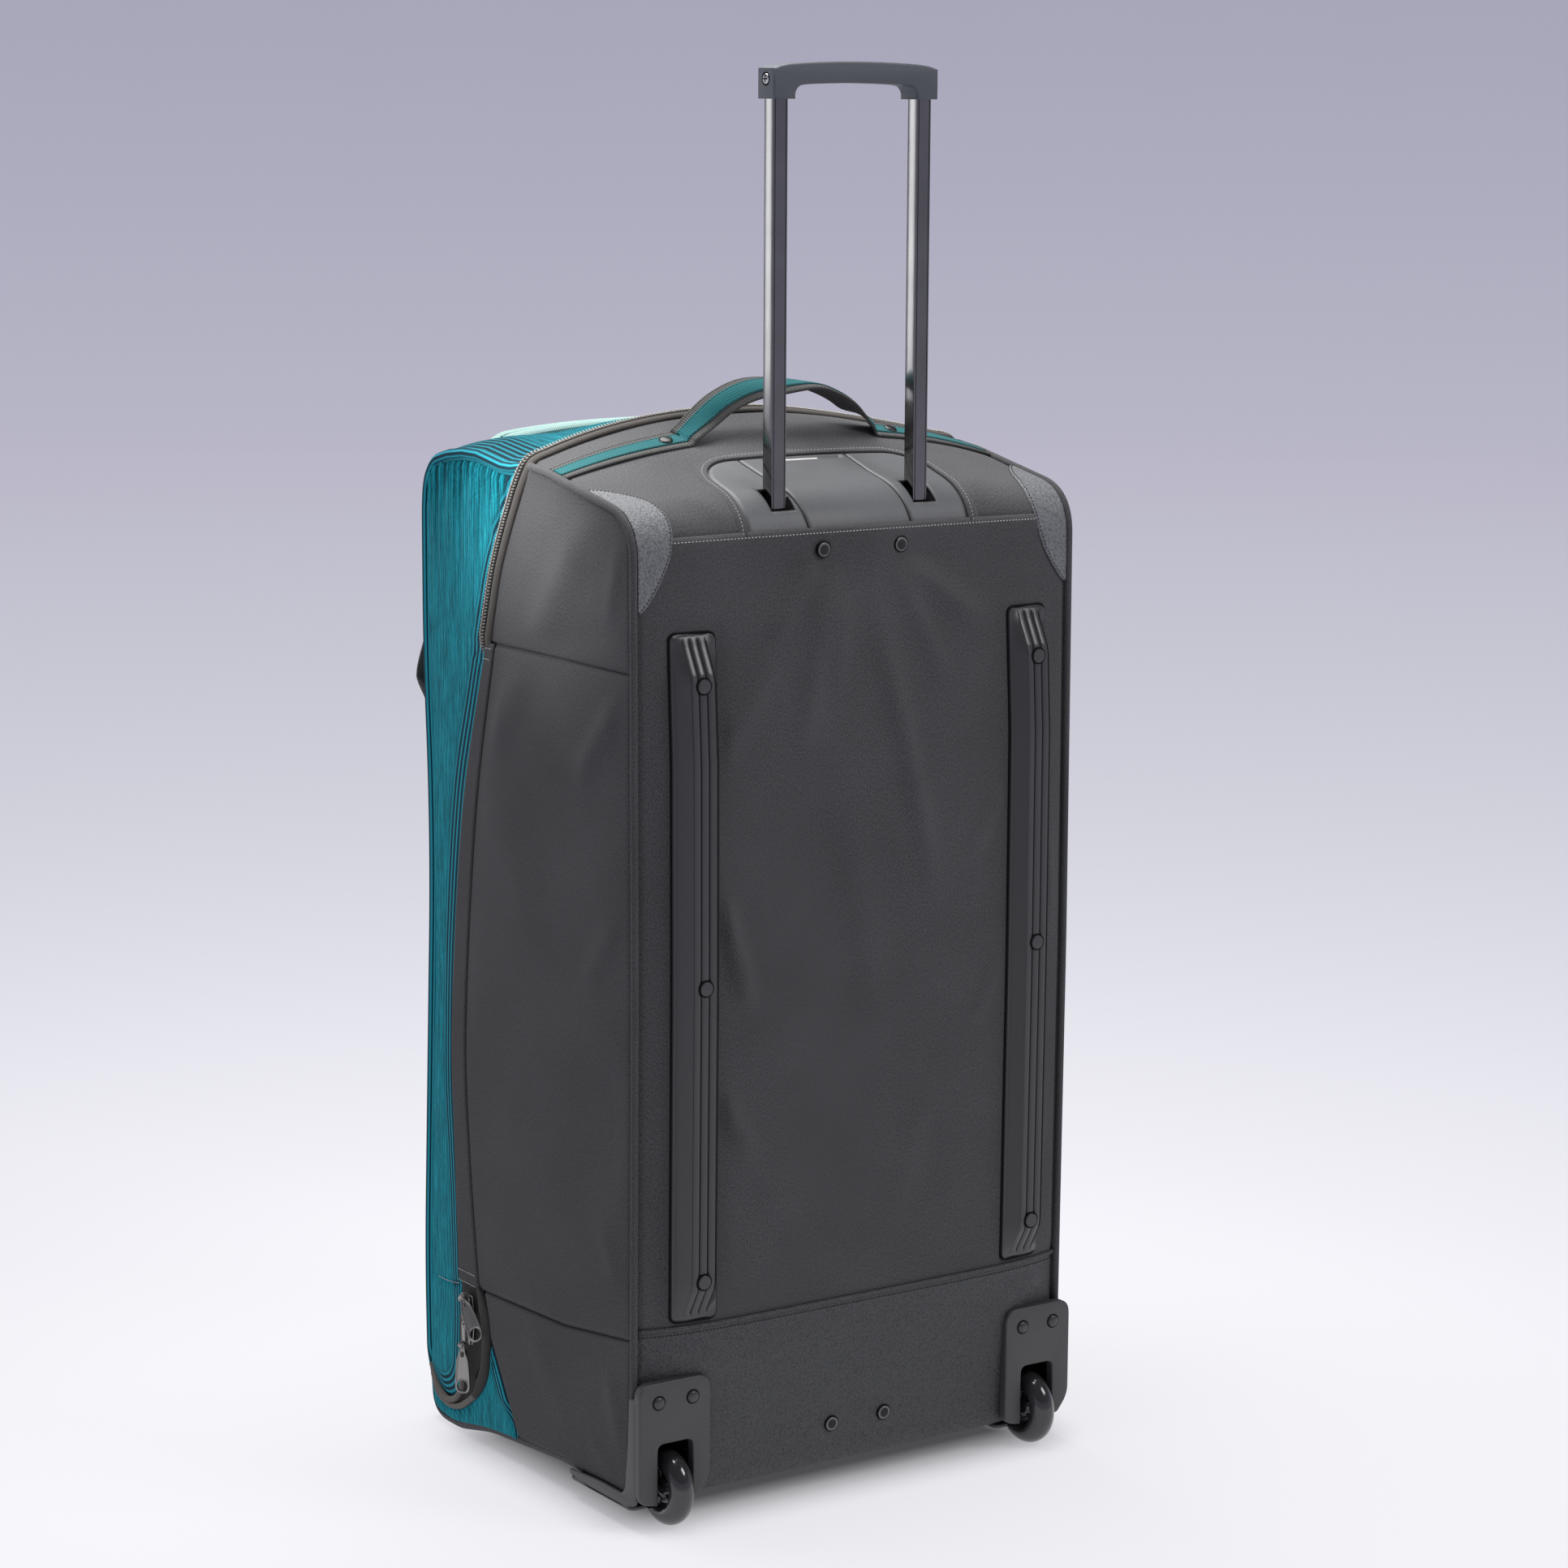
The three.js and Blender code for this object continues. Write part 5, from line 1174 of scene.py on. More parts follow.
TAPE_SHAPE = [(0.3, -1.2), (0.3, 1.0), (1.4, 2.2), (3.6, 2.7), (6.0, 2.1), (7.8, 0.5), (7.8, -1.2)]
BACKING_SHAPE = [(-7.2, -1.2), (-7.2, 1.0), (-6.2, 2.2), (-0.6, 2.3), (0.6, 1.2), (0.6, -1.2)]
place(piece_of("zip_tape_back", ZIP_TAPE_SHADED, sweep(zip_path, zip_up, TAPE_SHAPE)),
      nodes=["zip_top", "zip_left", "zip_right"])
place(piece_of("zip_backing", BLACK_TAPE, sweep(zip_path, zip_up, BACKING_SHAPE)))


def coil(store, path, up, offset, pitch=2.8, size=(0.72, 2.1, 1.8), slant=0.55, apart=1.7):
    """Two rows of slanting teeth beside a line."""
    along = unit(np.gradient(path, axis=0))
    side = unit(np.cross(along, up))
    for row, lean in ((-1, slant), (1, -slant)):
        stitches(store, path + side * (offset + row * apart), up, pitch, size, lean)


teeth = Gather()
coil(teeth, zip_path + 2.2 * zip_up, zip_up, -3.3)
place(teeth.piece("zip_teeth", TEETH))

RIDGE = np.array([
    (-1, -2.0), (-1, 0.3), (-0.75, 1.5), (-0.3, 2.1), (0.3, 2.1), (0.75, 1.5), (1, 0.3), (1, -2.0),
])


def end_band(side, line_at, half):
    """A raised band of tape round the open end of a side zip, which fades out at its top."""
    path = at_x(side * (SIDE_OUT + 0.3), line_at)
    path[:, 0] -= side * 2.2 * smoothstep(302, 317, line_at[:, 0])
    fade = smoothstep(138, 112, line_at[:, 1])
    shapes = RIDGE[None] * np.stack([half * (0.4 + 0.6 * fade), 0.2 + 0.8 * fade], -1)[:, None]
    return sweep(path, np.array([side, 0.0, 0.0]), shapes)


end_teeth = Gather()
widen = smoothstep(245, 222, zip_outer[:, 0])
turn_at = np.argmin(np.abs(zip_outer[:70, 0] - 240))
outer_line, outer_half = beside(zip_outer, -2.4 - 3.2 * widen), 2.6 + 3.4 * widen
inner_line = beside(zip_inner, 2.6)[(zip_inner[:, 1] < 104) | (zip_inner[:, 0] > 280)]
arm_line = beside(zip_outer, -13.5)[(zip_outer[:, 0] < 232) & (zip_outer[:, 1] < 122)]
for side, name in SIDES:
    bands = (end_band(side, inner_line, np.full(len(inner_line), 2.7)),
             end_band(side, outer_line[:turn_at + 1], outer_half[:turn_at + 1]))
    place(piece_of(f"zip_end_tape_{name}", TAPE, *bands), nodes=[f"zip_tail_{name}"])
    arm = end_band(side, outer_line[turn_at:], outer_half[turn_at:])
    place(piece_of(f"zip_end_arm_{name}", ZIP_ARM_TAPE_SHADED, arm))
    arm_path, outwards = at_x(side * (SIDE_OUT - 1.0), arm_line), np.array([side, 0.0, 0.0])
    stitches(end_teeth, arm_path, outwards, 2.6, (0.7, 1.8, 1.6), 0.3 * side)
place(end_teeth.piece("zip_end_teeth", RIVET))

# Pocket zip across the lid's top; its pale mint colour is painted highlight on teal tape lit from behind

POCKET_HALF = 172
WELT = np.array([
    (-13, -1), (-12.6, 4.4), (-10.5, 7.0), (-7.6, 7.4), (-5, 6.0), (-3.6, 5.0), (3.0, 4.0), (4.4, 4.6),
    (7, 5.2), (9.8, 4.0), (11.6, 1.4), (12, -1),
])
pocket_x = np.linspace(-POCKET_HALF, POCKET_HALF, 120)
pocket_path, pocket_up = on_wrap(PLACE["pocket"], pocket_x, 0.2, **lid)
ends = (0.25 + 0.75 * smoothstep(0, 26, POCKET_HALF - np.abs(pocket_x)))[:, None]
place(piece_of("pocket_welt", POCKET_TAPE_LIT, sweep(pocket_path, pocket_up, WELT[None] * ends[..., None])))
pocket_teeth = Gather()
coil_path = (pocket_path + 4.4 * ends * pocket_up)[6:-6]
coil(pocket_teeth, coil_path, pocket_up[6:-6], 0.0, 2.2, (0.7, 1.4, 1.2), 0.5, 1.3)
place(pocket_teeth.piece("pocket_teeth", POCKET_COIL_LIT))

# Slide rails

# A y behind the back panel, from which its stations are looked up
BACK_Y = -5
BACKWARDS = np.array([0.0, -1.0, 0.0])
# The ribs' share of a rail's width, and the rail's rounding at its corners
RIB_BAND, RAIL_CORNER = 0.575, 6
# A rail's height over the cloth, upwards from its lower end
RAIL_SHAPE = np.array([
    (RAIL_LOW, 0.6), (166, 2.4), (171, 3.8), (190, 14.4), (197, RAIL_TALL), (662, RAIL_TALL), (669, 14.4),
    (688, 5.4), (694, 3.2), (696, 2.4), (RAIL_HIGH, 0.6),
]).T
z_rows = [np.linspace(RAIL_LOW, 204, 40), np.linspace(204, 656, 50), np.linspace(656, RAIL_HIGH, 42)]
z_rows = np.unique(np.concatenate(z_rows))
rail_s = stations(BACK_Y, z_rows)
height = np.interp(z_rows, *RAIL_SHAPE)[:, None]
from_end = np.clip(np.minimum(z_rows - RAIL_LOW, RAIL_HIGH - z_rows) / RAIL_CORNER, 0, 1)
half = RAIL_HALF - RAIL_CORNER * (1 - np.sqrt(from_end * (2 - from_end)))
flank = [[-1.0, -1.0, -0.995, -0.97], np.linspace(-0.93, -0.60, 7), np.linspace(-RIB_BAND, 0, 25)]
u = np.concatenate(flank)
u = np.concatenate([u, -u[::-1][1:]])
from_middle = np.abs(u)
slope = np.clip((1 - from_middle) / (1 - RIB_BAND), 0, 1) * np.where(from_middle < 0.97, 1, 0.5)
lip = np.minimum(height, 2.4)
rib_at = np.mod(u * 1.5 / RIB_BAND + 0.5, 1) * 2 - 1
round_off = 1 - np.sqrt(np.clip(1 - np.abs(rib_at)**3, 0, 1))
rail_top = lip + (height - lip) * slope
rail_top -= np.where(from_middle < RIB_BAND, 2.6 * round_off, 0) * smoothstep(2.6, 4.2, height)
rail_top[:, [0, -1]] = -3.0
rail_top[:, [1, -2]] = np.minimum(height, 1.5)
# A near-black sheet a little wider than each rail, just over the cloth: painted shadow round the rail's edges
rail_shadow_z = RAIL_MIDDLE + (z_rows - RAIL_MIDDLE) * 1.005
rail_shadow_s = stations(BACK_Y, rail_shadow_z)[:, None] + np.zeros(16)
for side, name in SIDES:
    xs = side * RAIL_X + u * half[:, None]
    face = wrap(rail_s[:, None], xs)[..., 1]
    seat = wrap(rail_s, side * RAIL_X)[:, 1:2]
    level = np.where(from_middle > 0.96, face, seat + (face - seat) * from_middle**2)
    points = np.stack([xs, level - rail_top, z_rows[:, None] + 0 * xs], -1).reshape(-1, 3)
    piece = finish_mesh(f"slide_rail_{name}", points, tube_faces(*xs.shape), PLASTIC, closed=True)
    place(sharpen(piece, 28), nodes=[f"rail_{name}"])
    rail_shadow_x = side * RAIL_X + np.linspace(-1, 1, 16) * (half + 1.3)[:, None]
    coords = np.stack([rail_shadow_x, rail_shadow_s], -1)
    rail_shadow_grid = wrap(rail_shadow_s, rail_shadow_x, 0.9)
    place(cloth_sheet(f"rail_painted_shadow_{name}", rail_shadow_grid, coords, SHADE_BLACK, thick=2.0))
    heads, rings = Gather(), Gather()
    for z in (198, 429, 660):
        foot = (side * RAIL_X, seat[np.argmin(np.abs(z_rows - z)), 0] - RAIL_TALL, z)
        # A near-black ring under each rivet's head: painted shadow round it
        turned(rings, [(0.1, -1), (6.8, -1), (6.8, 0.5), (6.5, 0.6), (0.1, 0.6)], foot, BACKWARDS)
        turned(heads, [(0.1, -1), (5.5, -1), (5.5, 1.2), (5.1, 1.6), (3.6, 1.7), (0.1, 1.8)], foot, BACKWARDS)
    place(rings.piece(f"rivet_painted_shadows_{name}", SHADE_BLACK))
    place(sharpen(heads.piece(f"rail_rivets_{name}", PLASTIC)),
          nodes=[f"rail_rivet_{name}_{k}" for k in (1, 2, 3)])

# Rivets on the back

eyelets, eyelet_discs, eyelet_painted_shadows = Gather(), Gather(), Gather()
for x, z in ((36.4, 754), (25.5, 55)):
    for side in (-1, 1):
        foot, up = on_wrap(station(BACK_Y, z), side * x, 0.9 if z > 700 else 0.2)
        # A near-black ring round each eyelet: painted shadow
        turned(eyelet_painted_shadows, [(0.1, -1), (6.6, -1), (6.6, 0.5), (6.1, 0.9), (0.1, 0.9)], foot, up, 40)
        turned(eyelets, [(4.9, -1), (5.6, -1), (5.6, 1.2), (5.3, 1.4), (4.9, 1.2)], foot, up, 40)
        turned(eyelet_discs, [(0.1, -1), (4.3, -1), (4.3, 1.0), (3.9, 1.2), (0.1, 1.3)], foot, up, 40)
place(eyelet_painted_shadows.piece("eyelet_painted_shadows", SHADE_BLACK))
place(eyelets.piece("eyelet_rings", STEEL),
      nodes=[f"panel_rivet_{a}_{b}" for a in ("upper", "lower") for b in ("left", "right")])
place(eyelet_discs.piece("eyelet_discs", DARK_DISC))

# Wheel housings and wheels

WELL_BACK, WELL_LOW, WELL_WALL = -10, 17, 3
WELL_IN = WELL_HALF - WELL_WALL
WELL_BOXES = (
    ((-WELL_HALF, WELL_BACK, WELL_LOW), (-WELL_IN, WELL_DEEP, WELL_TOP)),
    ((WELL_IN, WELL_BACK, WELL_LOW), (WELL_HALF, WELL_DEEP, WELL_TOP)),
    ((-WELL_IN, WELL_BACK, WELL_TOP - WELL_WALL), (WELL_IN, WELL_DEEP, WELL_TOP)),
    ((-WELL_IN, WELL_DEEP - WELL_WALL, WELL_LOW), (WELL_IN, WELL_DEEP, WELL_TOP - WELL_WALL)),
)
TYRE_ROUND, SPOKES = 10.5, 5
arc = np.radians(np.linspace(-90, 90, 25))
tyre = np.stack([WHEEL_R - TYRE_ROUND + TYRE_ROUND * np.cos(arc), TYRE_ROUND * np.sin(arc)], -1)
hub = np.array([(3.6, -6.5), (8, -6.5), (8.6, -4), (14, -4), (15.4, -8)])
wheel_shape = np.vstack([hub, tyre, hub[::-1] * [1, -1], hub[:1]])
for side, name in SIDES:
    # The plate on the back, the flank on the bag's side and the sole below
    low, high = (-33, 32) if side < 0 else (-32, 33)
    plate_loop = rounded_loop([
        (low, 24, 9), (-WELL_IN, 21, 1.5), (-WELL_IN, 70, 6), (WELL_IN, 70, 6), (WELL_IN, 24, 1.5),
        (22, 24, 6), (high, 38, 12), (high, 120, 12), (low, 120, 12),
    ])
    matrix = [[1, 0, 0, side * WHEEL_X], [0, 0, 1, -14.5], [0, 1, 0, 0]]
    plate = flat_solid([plate_loop], 9.0, 1.6, matrix)
    heel = [(-13, 22, 6), (6, 16.5, 6)] if side < 0 else [(-13, 46, 6), (2, 24, 6), (20, 16, 6)]
    flank_loop = rounded_loop(heel + [
        (60, 16, 8), (86, 20, 2), (86, 24, 1.5), (44, 27, 10), (8, 27, 3), (3, 33, 3), (-1, 66, 8),
        (-3, 107, 3), (-13, 107, 3),
    ])
    matrix = [[0, 0, side, side * 207.7], [1, 0, 0, 0], [0, 1, 0, 0]]
    flank = flat_solid([flank_loop], 2.6, 0.9, matrix)
    sole_loop = rounded_loop([
        (low, -6, 10), (-WELL_HALF, -6, 1), (-WELL_HALF, WELL_DEEP, 1), (WELL_HALF, WELL_DEEP, 1),
        (WELL_HALF, 8, 1), (high, 8, 2), (high, 86, 6), (low, 86, 6),
    ])
    matrix = [[1, 0, 0, side * WHEEL_X], [0, 1, 0, 0], [0, 0, 1, 17.4]]
    sole = flat_solid([sole_loop], 3.0, 0.8, matrix)
    mount = piece_of(f"wheel_mount_{name}", HOUSING, plate, flank, sole)
    place(sharpen(mount, 50), nodes=[f"wheel_housing_{name}"])
    # The wells' walls are near-black: painted shade inside the wells
    walls = [box(*[(side * (WHEEL_X + x), y, z) for x, y, z in ends]) for ends in WELL_BOXES]
    place(sharpen(piece_of(f"wheel_well_{name}", SHADE_BLACK, *walls)))
    heads, rings = Gather(), Gather()
    for dx in (-15.5, 15.5):
        foot = (side * (WHEEL_X + dx), -19, 104)
        # A near-black ring under each rivet's head: painted shadow round it
        turned(rings, [(0.1, -1), (5.9, -1), (5.9, 0.2), (5.7, 0.3), (0.1, 0.3)], foot, BACKWARDS)
        turned(heads, [(0.1, -1), (5, -1), (5, 0.5), (4.4, 1.5), (3.0, 2.2), (0.1, 2.5)], foot, BACKWARDS)
    place(rings.piece(f"housing_rivet_painted_shadows_{name}", SHADE_BLACK))
    place(heads.piece(f"housing_rivets_{name}", PLASTIC),
          nodes=[f"housing_rivet_{name}_inner", f"housing_rivet_{name}_outer"])

    wheel = Gather()
    turned(wheel, wheel_shape, (side * WHEEL_X, WHEEL_Y, WHEEL_R), (1, 0, 0), 64)
    for k in range(SPOKES):
        angle = math.tau * k / SPOKES
        ray = np.array([0, math.cos(angle), math.sin(angle)])
        for face in (-1, 1):
            start = np.array([side * WHEEL_X + face * 4.0, WHEEL_Y, WHEEL_R])
            spoke = start + ray * np.linspace(7, 17, 8)[:, None]
            wheel.add(*sweep(spoke, np.array([face, 0.0, 0.0]), ellipse(1.9, 1.9, 10)))
    place(wheel.piece(f"wheel_body_{name}", TYRE), f"wheel_{name}", [f"wheel_{name}"])

# Trolley handle

# A tube has two grooves along its front and its back
groove = [(5.5, 6.25, 0.2), (5.2, 5.4, 0.2), (4.7, 5.4, 0.2), (4.4, 6.25, 0.2)]
front = mirrored([(6.5, 6.25, 0.9)] + groove)
tube_loop = rounded_loop(front + [(-x, -y, r) for x, y, r in front], 4)
tube_z = np.linspace(740, 1096, 30)
for side, name in SIDES:
    path = at_x(side * TUBE_X, np.stack([np.full_like(tube_z, TUBE_Y), tube_z], -1))
    tube = piece_of(f"tube_{name}", TUBE, sweep(path, BACKWARDS, tube_loop))
    place(sharpen(tube, 50), "handle", [f"handle_tube_{name}"])

GRIP_HALF, GRIP_FOOT, GRIP_TOP = 76.0, 1093.7, 1119.0
LEFTWARDS = np.array([-1.0, 0.0, 0.0])
arch_x = np.linspace(-1, 1, 40)
arch_z = GRIP_TOP + 3 * (1 - arch_x**2) - 2.0 * np.abs(arch_x)**12
upper = np.stack([arch_x * (GRIP_HALF - 2), arch_z], -1)
half_under = [(-56, GRIP_FOOT), (-56, 1098), (-53.5, 1102.2), (-48, 1104.2), (-30, 1105.2), (0, 1105.8)]
half_under = spline(half_under, 40)
left_end = np.array([(-GRIP_HALF, 1116.5), (-GRIP_HALF, GRIP_FOOT)])
left_half = np.vstack([left_end, half_under])
grip_loop = np.vstack([left_half, (left_half * [-1, 1])[::-1][1:], upper[::-1]])
grip = flat_solid([grip_loop], 23.0, 1.8, [[1, 0, 0, 0], [0, 0, -1, TUBE_Y], [0, 1, 0, 0]])
place(sharpen(piece_of("grip", GRIP, grip), 50), "handle", ["handle_grip"])

SCREW_Z = 1108.5
screw, cross = Gather(), Gather()
screw_at = (-GRIP_HALF, TUBE_Y, SCREW_Z)
turned(screw, [(0.1, -1), (4.0, -1), (4.0, 0.2), (3.4, 0.55), (0.1, 0.7)], screw_at, LEFTWARDS)
# A near-black ring round the screw's head and a near-black cross in it: painted shade in the gaps
turned(cross, [(4.0, -1), (5.2, -1), (5.2, 0.15), (4.0, 0.15)], screw_at, LEFTWARDS)
for a, b in ((2.6, 0.55), (0.55, 2.6)):
    cross.add(*box((-76.78, TUBE_Y - a, SCREW_Z - b), (-75.8, TUBE_Y + a, SCREW_Z + b)))
place(screw.piece("grip_screw", BRIGHT), "handle")
place(sharpen(cross.piece("grip_screw_slots", SHADE_BLACK)), "handle")

# Carrying straps

SEWN = np.linspace(104, 202, 40)
STRAP_HALF, TRIM_HALF = 12.5, 6.5
strap_x = np.concatenate([-SEWN[:0:-1], np.linspace(-SEWN[0], SEWN[0], 120), SEWN[1:]])
arch = spline([(-x, h) for x, h in STRAP_ARCH[::-1]] + STRAP_ARCH[1:], 600)
strap_lift = np.maximum(np.interp(strap_x, *arch.T), 0)
strap_path = wrap(PLACE["strap"], np.clip(strap_x, -WRAP_HALF, WRAP_HALF), 0.5)
strap_path[:, 0] = strap_x
strap_path[:, 2] += strap_lift
free = smoothstep(3, 22, strap_lift)
lean = free * (0.42 * smoothstep(10, -50, strap_x) - 0.5 * smoothstep(-10, 40, strap_x))
strap_up = unit(wrap_normal(PLACE["strap"], strap_x) + lean[:, None] * BACKWARDS)
# How sharply the free part curls over its width
CURL = 0.04


def curled(low, high, count, curl, level):
    """A strap's cross-section between two distances from its middle, curled down at its edges."""
    w = np.linspace(low, high, count)
    bend = np.maximum(curl[:, None] * CURL, 1e-4)
    angle = w[None] * bend
    side, drop = np.sin(angle) / bend, (1 - np.cos(angle)) / bend
    inner, outer = (np.stack([side + np.sin(angle) * h, -drop + np.cos(angle) * h], -1) for h in level)
    return np.concatenate([outer, inner[:, ::-1]], 1)


strap = sweep(strap_path, strap_up, curled(-STRAP_HALF, STRAP_HALF, 22, free, (0.0, 1.8)))
place(piece_of("top_strap", WEBBING, strap), nodes=["top_handle"])
trim = sweep(strap_path, strap_up, curled(-TRIM_HALF, TRIM_HALF, 14, free, (1.7, 2.5)))
place(piece_of("strap_trim", TRIM, trim))
strap_along = unit(np.gradient(strap_path, axis=0))
strap_side = unit(np.cross(strap_along, strap_up))
up = unit(np.cross(strap_side, strap_along))
for offset in (-5.6, 5.6, -11.2, 11.2):
    line_shape = curled(offset, offset + 0.01, 2, free, (0.0, 2.5 if abs(offset) < TRIM_HALF else 1.8))[:, 1]
    row = strap_path + strap_side * line_shape[:, :1] + up * line_shape[:, 1:]
    tilt = offset * free[:, None] * CURL
    stitches(dark, row, up * np.cos(tilt) + strap_side * np.sin(tilt), 2.6, (1.0, 0.35, 0.35))
domes = Gather()
for side in (-1, 1):
    foot, up = on_wrap(PLACE["strap"], side * 107.0, 2.8)
    turned(domes, [(0.1, -1), (5.6, -1), (5.6, 0.6), (5.0, 1.3), (3.4, 1.8), (0.1, 2.0)], foot, up)
place(domes.piece("strap_rivets", RIVET), nodes=["strap_rivet_left", "strap_rivet_right"])

front_z = np.linspace(706, 572, 90)
front_arch = spline(FRONT_ARCH[::-1], 400)
front_lift = np.maximum(np.interp(front_z, *front_arch.T), 0)
front_path = wrap(stations(317, front_z), -184.0, 0.6 + front_lift, **lid)
front_shape = [(-STRAP_HALF, 0, 0.8), (STRAP_HALF, 0, 0.8), (STRAP_HALF, 2.2, 0.8), (-STRAP_HALF, 2.2, 0.8)]
front_strap = sweep(front_path, -BACKWARDS, rounded_loop(front_shape, 4))
place(piece_of("front_strap", WEBBING, front_strap), nodes=["front_handle"])

# Zip sliders and pulls

# Shapes drawn upright on the left side; a pull hangs from its pivot, turned about its own length
ON_SIDE = np.array([[0, 0, -1.0], [1, 0, 0], [0, 1, 0]])
PIVOT_X = SIDE_OUT + GAP + 5.0 + 2.9
PULL_TWIST = 38.0
EYE_DROP, WINDOW_DROP = 34.2, 7.0
wing = rounded_loop([(-4, 10.5, 2.5), (4, 10.5, 2.5)] + mirrored([(7.6, 6, 3), (5.2, -9.5, 2)]))
bridge = spline([(4.6, -7.5), (6.6, -5.6), (7.0, 0), (6.6, 5.6), (4.6, 7.5)], 26)
bead = [(1.3, 0), (3.1, 0), (3.2, 1.6), (2.5, 2.4), (1.6, 2.2), (1.3, 1.0)]
ear = rounded_loop([(-2, -3.4, 1), (2, -3.4, 1), (2, 2.0, 1.8), (-2, 2.0, 1.8)], 6)
bar = np.linspace((0, -4.6, 0), (0, 4.6, 0), 8)
rim_loop = rounded_loop(mirrored([
    (2.5, -1.5, 0.6), (2.7, -5.2, 2), (5.2, -11, 3), (6.5, -27, 6), (6.5, -40.5, 6.5),
]))
eye, window = ellipse(4.6, 5.0, 28) - [0, EYE_DROP], ellipse(1.5, 2.3, 20) - [0, WINDOW_DROP]
around = np.linspace(0, math.tau, 29)
radial = np.stack([np.cos(around), 0 * around, np.sin(around)], -1)
knuckle = rounded_loop([(-2.7, -0.5, 0.3), (2.7, -0.5, 0.3), (2.7, 0.5, 0.3), (-2.7, 0.5, 0.3)], 3)
inwards = unit(np.roll(rim_loop, -1, 0) - np.roll(rim_loop, 1, 0))[:, ::-1] * [1, -1]
ridges = (rim_loop + 0.75 * inwards, ellipse(5.3, 5.7, 36) - [0, EYE_DROP])


def on_tail(x, z):
    """Where a flat shape of a slider lies: x outside of the bag's side, at height z."""
    return np.column_stack([ON_SIDE, [-(SIDE_OUT + x), TAIL_Y, z]])


def rotation(axis, degrees):
    return np.array(Matrix.Rotation(math.radians(degrees), 3, axis))


def hung(shape, turn, pivot):
    """A shape that is drawn round its pivot, turned and put there."""
    return shape[0] @ turn.T + pivot, shape[1]


for name, z, lean, slider_z, nose in (("upper", 124.0, 40.0, 115.0, -1), ("lower", 82.0, 0.0, 92.0, 1)):
    pivot = np.array([-PIVOT_X, TAIL_Y, z])
    swing = rotation("X", -lean)
    twisted = swing @ rotation("Z", PULL_TWIST)
    body = Gather()
    for x in (1.2, 4.4):
        body.add(*flat_solid([wing * [1, nose]], 1.8, 0.7, on_tail(x, slider_z)))
    body.add(*flat_solid([ellipse(2.6, 5.5, 20)], 3.6, 0.5, on_tail(2.8, slider_z)))
    bridge_path = np.stack([-(SIDE_OUT + bridge[:, 0]), np.full(26, TAIL_Y), slider_z + bridge[:, 1]], -1)
    body.add(*sweep(bridge_path, LEFTWARDS, ellipse(2.1, 0.9, 16, 0.6)))
    turned(body, bead, (-(SIDE_OUT + 4.9), TAIL_Y, slider_z + nose * 8.4), LEFTWARDS, 24)
    for y in (-4.3, 4.3):
        ear_solid = flat_solid([ear], 1.4, 0.4, [[0, -1, 0, 0], [0, 0, 1, y], [1, 0, 0, 0]])
        body.add(*hung(ear_solid, swing, pivot))
    body.add(*hung(sweep(bar, LEFTWARDS, ellipse(1.05, 1.05, 14)), swing, pivot))
    place(sharpen(body.piece(f"slider_{name}", GUNMETAL), 50), nodes=[f"zip_slider_{name}"])

    pull = Gather()
    flat = flat_solid([rim_loop, eye, window], 1.8, 0.5, np.column_stack([ON_SIDE, [0, 0, 0]]))
    pull.add(*hung(flat, twisted, pivot))
    pull.add(*hung(sweep(1.87 * radial, radial, knuckle), swing, pivot))
    for ridge in ridges:
        ridge_path = at_x(-0.95, np.vstack([ridge, ridge[:1]]))
        pull.add(*hung(sweep(ridge_path, LEFTWARDS, ellipse(0.6, 0.45, 8)), twisted, pivot))
    pull_piece = sharpen(pull.piece(f"pull_{name}", GUNMETAL), 50)
    place(pull_piece, f"pull_{name}", [f"zip_pull_{name}"])

# Bar tacks on the flap and thread on the lid's lower seam

seam_y = np.linspace(264, 300, 24)
lid_thread = np.stack([seam_y, 130 - 0.004 * (seam_y - 264) * (321 - seam_y)], -1)
for side, _ in SIDES:
    outwards = np.array([side, 0.0, 0.0])
    for share in (0.994, 0.976, 0.02, 0.005):
        k = int(share * (len(flap_fold) - 1))
        tack = np.linspace(flap_fold[k] + [2, 0], flap_front[k] - [2, 0], 12)
        stitches(pale, at_x(side * (SIDE_OUT + 2.3), tack), outwards, 2.4, (0.95, 0.35, 0.4))
    stitches(pale, at_x(side * (LID_HALF + 1.6), lid_thread), outwards, 2.6, (0.95, 0.4, 0.6))

place(pale.piece("pale_stitches", PALE_THREAD))
place(dark.piece("dark_stitches_and_seam_shade", DARK_THREAD_AND_SHADE))

# The nodes that keep their own shape
for name in ("axle_left", "axle_right", "trolley_frame"):
    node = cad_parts[name]
    node.data.materials.clear()
    node.data.materials.append(STEEL)

# Floor, light and camera

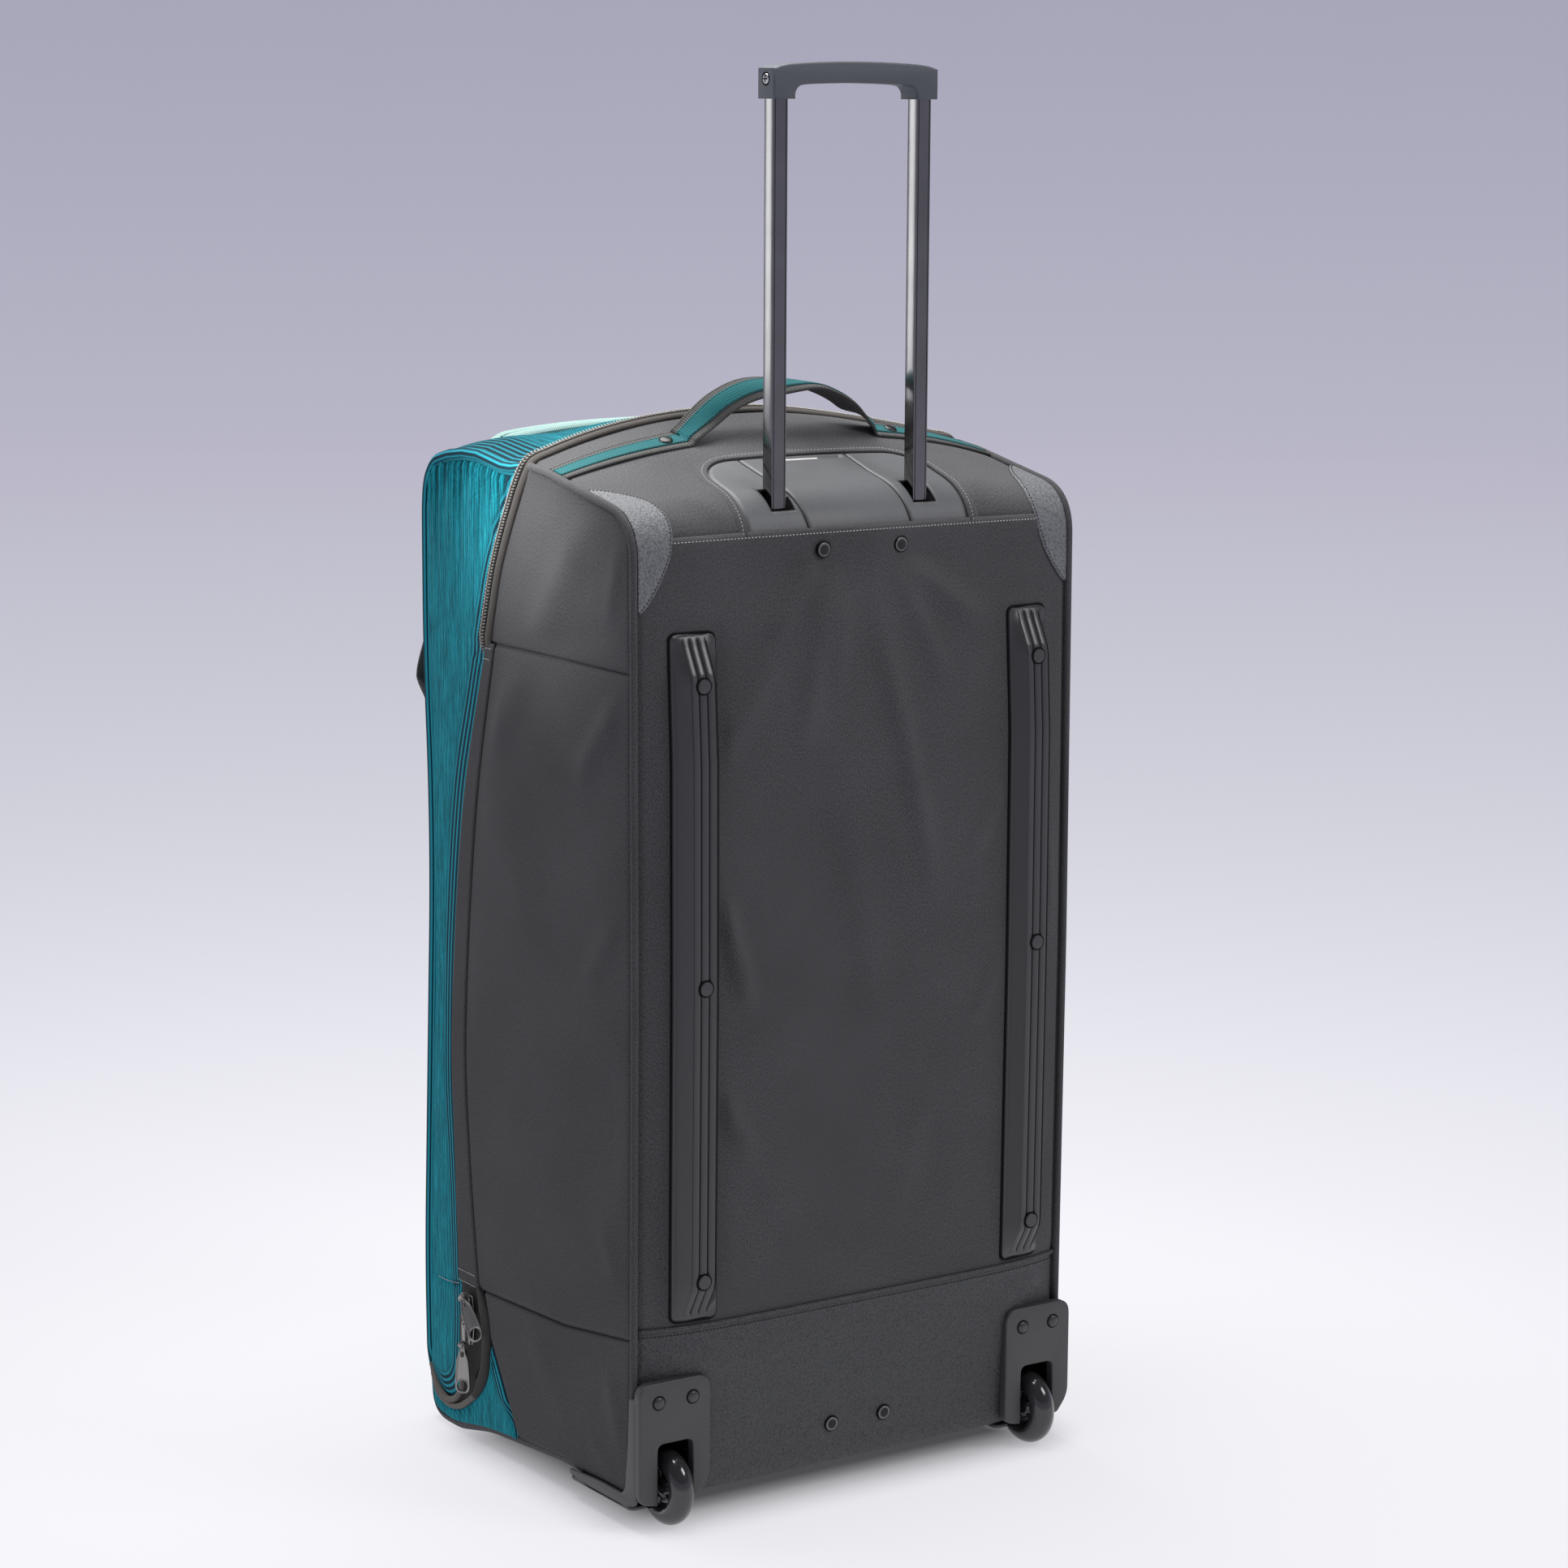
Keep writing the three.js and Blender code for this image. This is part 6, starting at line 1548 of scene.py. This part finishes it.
# Metres: the floor's flat part, its bend and its height at the back, and the shade below the bag
FLOOR_FLAT, FLOOR_BEND, FLOOR_RISE = 9.0, 1.5, 3.2
FOOT_HALF_X, FOOT_HALF_Y, FOOT_BACK = 0.165, 0.10, 0.025
SHADE_IN, SHADE_OUT = -0.02, 0.085
floor_paint = Paint("floor", Roughness=0.95, Specular_IOR_Level=0.05)
distance = floor_paint.node("VectorMath", {0: floor_paint.here()}, operation="LENGTH").outputs["Value"]
reach = floor_paint.levels(distance, 0.0, 1.0, 0.0, 12.0)
glow = floor_paint.ramp(reach, [
    (0.0, (0.70, 0.70, 0.73)), (0.03, (0.68, 0.675, 0.71)), (0.08, (0.63, 0.62, 0.67)),
    (0.14, (0.595, 0.595, 0.66)), (0.26, (0.555, 0.555, 0.625)), (0.39, (0.515, 0.515, 0.592)),
    (0.66, (0.448, 0.437, 0.522)), (0.75, (0.43, 0.418, 0.505)), (0.81, (0.405, 0.40, 0.488)),
    (0.845, (0.375, 0.37, 0.461)), (0.872, (0.337, 0.332, 0.42)), (0.89, (0.29, 0.285, 0.375)),
])
spot = floor_paint.node("SeparateXYZ", {0: floor_paint.here()})
past_x = floor_paint.math("SUBTRACT", floor_paint.math("ABSOLUTE", spot.outputs["X"]), FOOT_HALF_X)
behind_y = floor_paint.math("ABSOLUTE", floor_paint.math("ADD", spot.outputs["Y"], FOOT_BACK))
past_y = floor_paint.math("SUBTRACT", behind_y, FOOT_HALF_Y)
past_x, past_y = (floor_paint.math("MAXIMUM", v, 0.0) for v in (past_x, past_y))
past = floor_paint.math("SQRT", floor_paint.total((past_x, past_x), (past_y, past_y)))
shade_range = {"Value": past, "From Min": SHADE_IN, "From Max": SHADE_OUT}
shade = floor_paint.node("MapRange", shade_range, interpolation_type="SMOOTHSTEP").outputs["Result"]
floor_colour = floor_paint.mix(shade, (0.0, 0.0, 0.0, 1), glow)
floor_paint.join(floor_colour, floor_paint.shader.inputs["Emission Color"])
floor_paint.shader.inputs["Emission Strength"].default_value = 1.0
floor_paint.shader.inputs["Base Color"].default_value = (0.25, 0.25, 0.25, 1)
rings = [(r, 0.0) for r in (0.001, 0.5, 1, 2, 4, 6, FLOOR_FLAT)]
for k in np.linspace(0.1, math.pi / 2, 12):
    rings.append((FLOOR_FLAT + FLOOR_BEND * math.sin(k), FLOOR_BEND * (1 - math.cos(k))))
rings.append((FLOOR_FLAT + FLOOR_BEND, FLOOR_RISE))
turn = np.linspace(0, math.tau, 96, endpoint=False)
floor_points = np.vstack([np.stack([r * np.cos(turn), r * np.sin(turn), z + 0 * turn], -1) for r, z in rings])
floor_faces = grid_faces(len(rings), len(turn), True)[:, ::-1]
floor = finish_mesh("floor", floor_points / MM - [0, SHIFT_Y, 0], floor_faces, floor_paint.material)

world = bpy.data.worlds.new("studio")
bpy.context.scene.world = world
world.use_nodes = True
sky = world.node_tree.nodes["Background"]
sky.inputs["Color"].default_value = (0.62, 0.62, 0.70, 1)
sky.inputs["Strength"].default_value = 0.22


def stand(right, up, ahead, at):
    """The matrix of a lamp or a camera that stands at a place and looks ahead."""
    return Matrix([[right[k], up[k], -ahead[k], at[k]] for k in range(3)] + [[0, 0, 0, 1]])


def lamp(name, place_at, look_at, size, power, spread=180.0):
    data = bpy.data.lights.new(name, "AREA")
    data.shape = "RECTANGLE"
    data.size, data.size_y = size
    data.energy = power
    data.spread = math.radians(spread)
    made = bpy.data.objects.new(name, data)
    bpy.context.scene.collection.objects.link(made)
    ahead = unit(np.subtract(look_at, place_at))
    right = unit(np.cross(ahead, (0.01, 0, 1)))
    made.matrix_world = stand(right, np.cross(right, ahead), ahead, place_at)


lamp("overhead", (-0.1, 0.3, 2.2), (-0.05, 0.05, 0.8), (1.3, 1.3), 48)
lamp("upper_left", (-1.05, 0.10, 1.30), (-0.205, -0.015, 0.78), (0.07, 0.07), 0.16, 15)
lamp("back_fill", (1.3, -1.9, 2.4), (0, 0, 0.5), (1.0, 1.0), 27)
lamp("left_card", (-1.37, 1.81, 1.10), (-0.05, -0.14, 1.12), (0.6, 0.8), 0.85, 80)

camera_data = bpy.data.cameras.new("camera")
camera_data.lens = 91.14
camera_data.sensor_width = 36.0
camera = bpy.data.objects.new("camera", camera_data)
bpy.context.scene.collection.objects.link(camera)
CAMERA_AT = (-1.7567, -2.6506, 1.0984)
CAMERA_RIGHT = (0.8283, -0.5602, 0.0057)
CAMERA_UP = (0.0915, 0.1453, 0.9851)
CAMERA_AHEAD = (0.5528, 0.8155, -0.1716)
camera.matrix_world = stand(CAMERA_RIGHT, CAMERA_UP, CAMERA_AHEAD, CAMERA_AT)
bpy.context.scene.camera = camera
bpy.context.scene.view_settings.view_transform = "Standard"
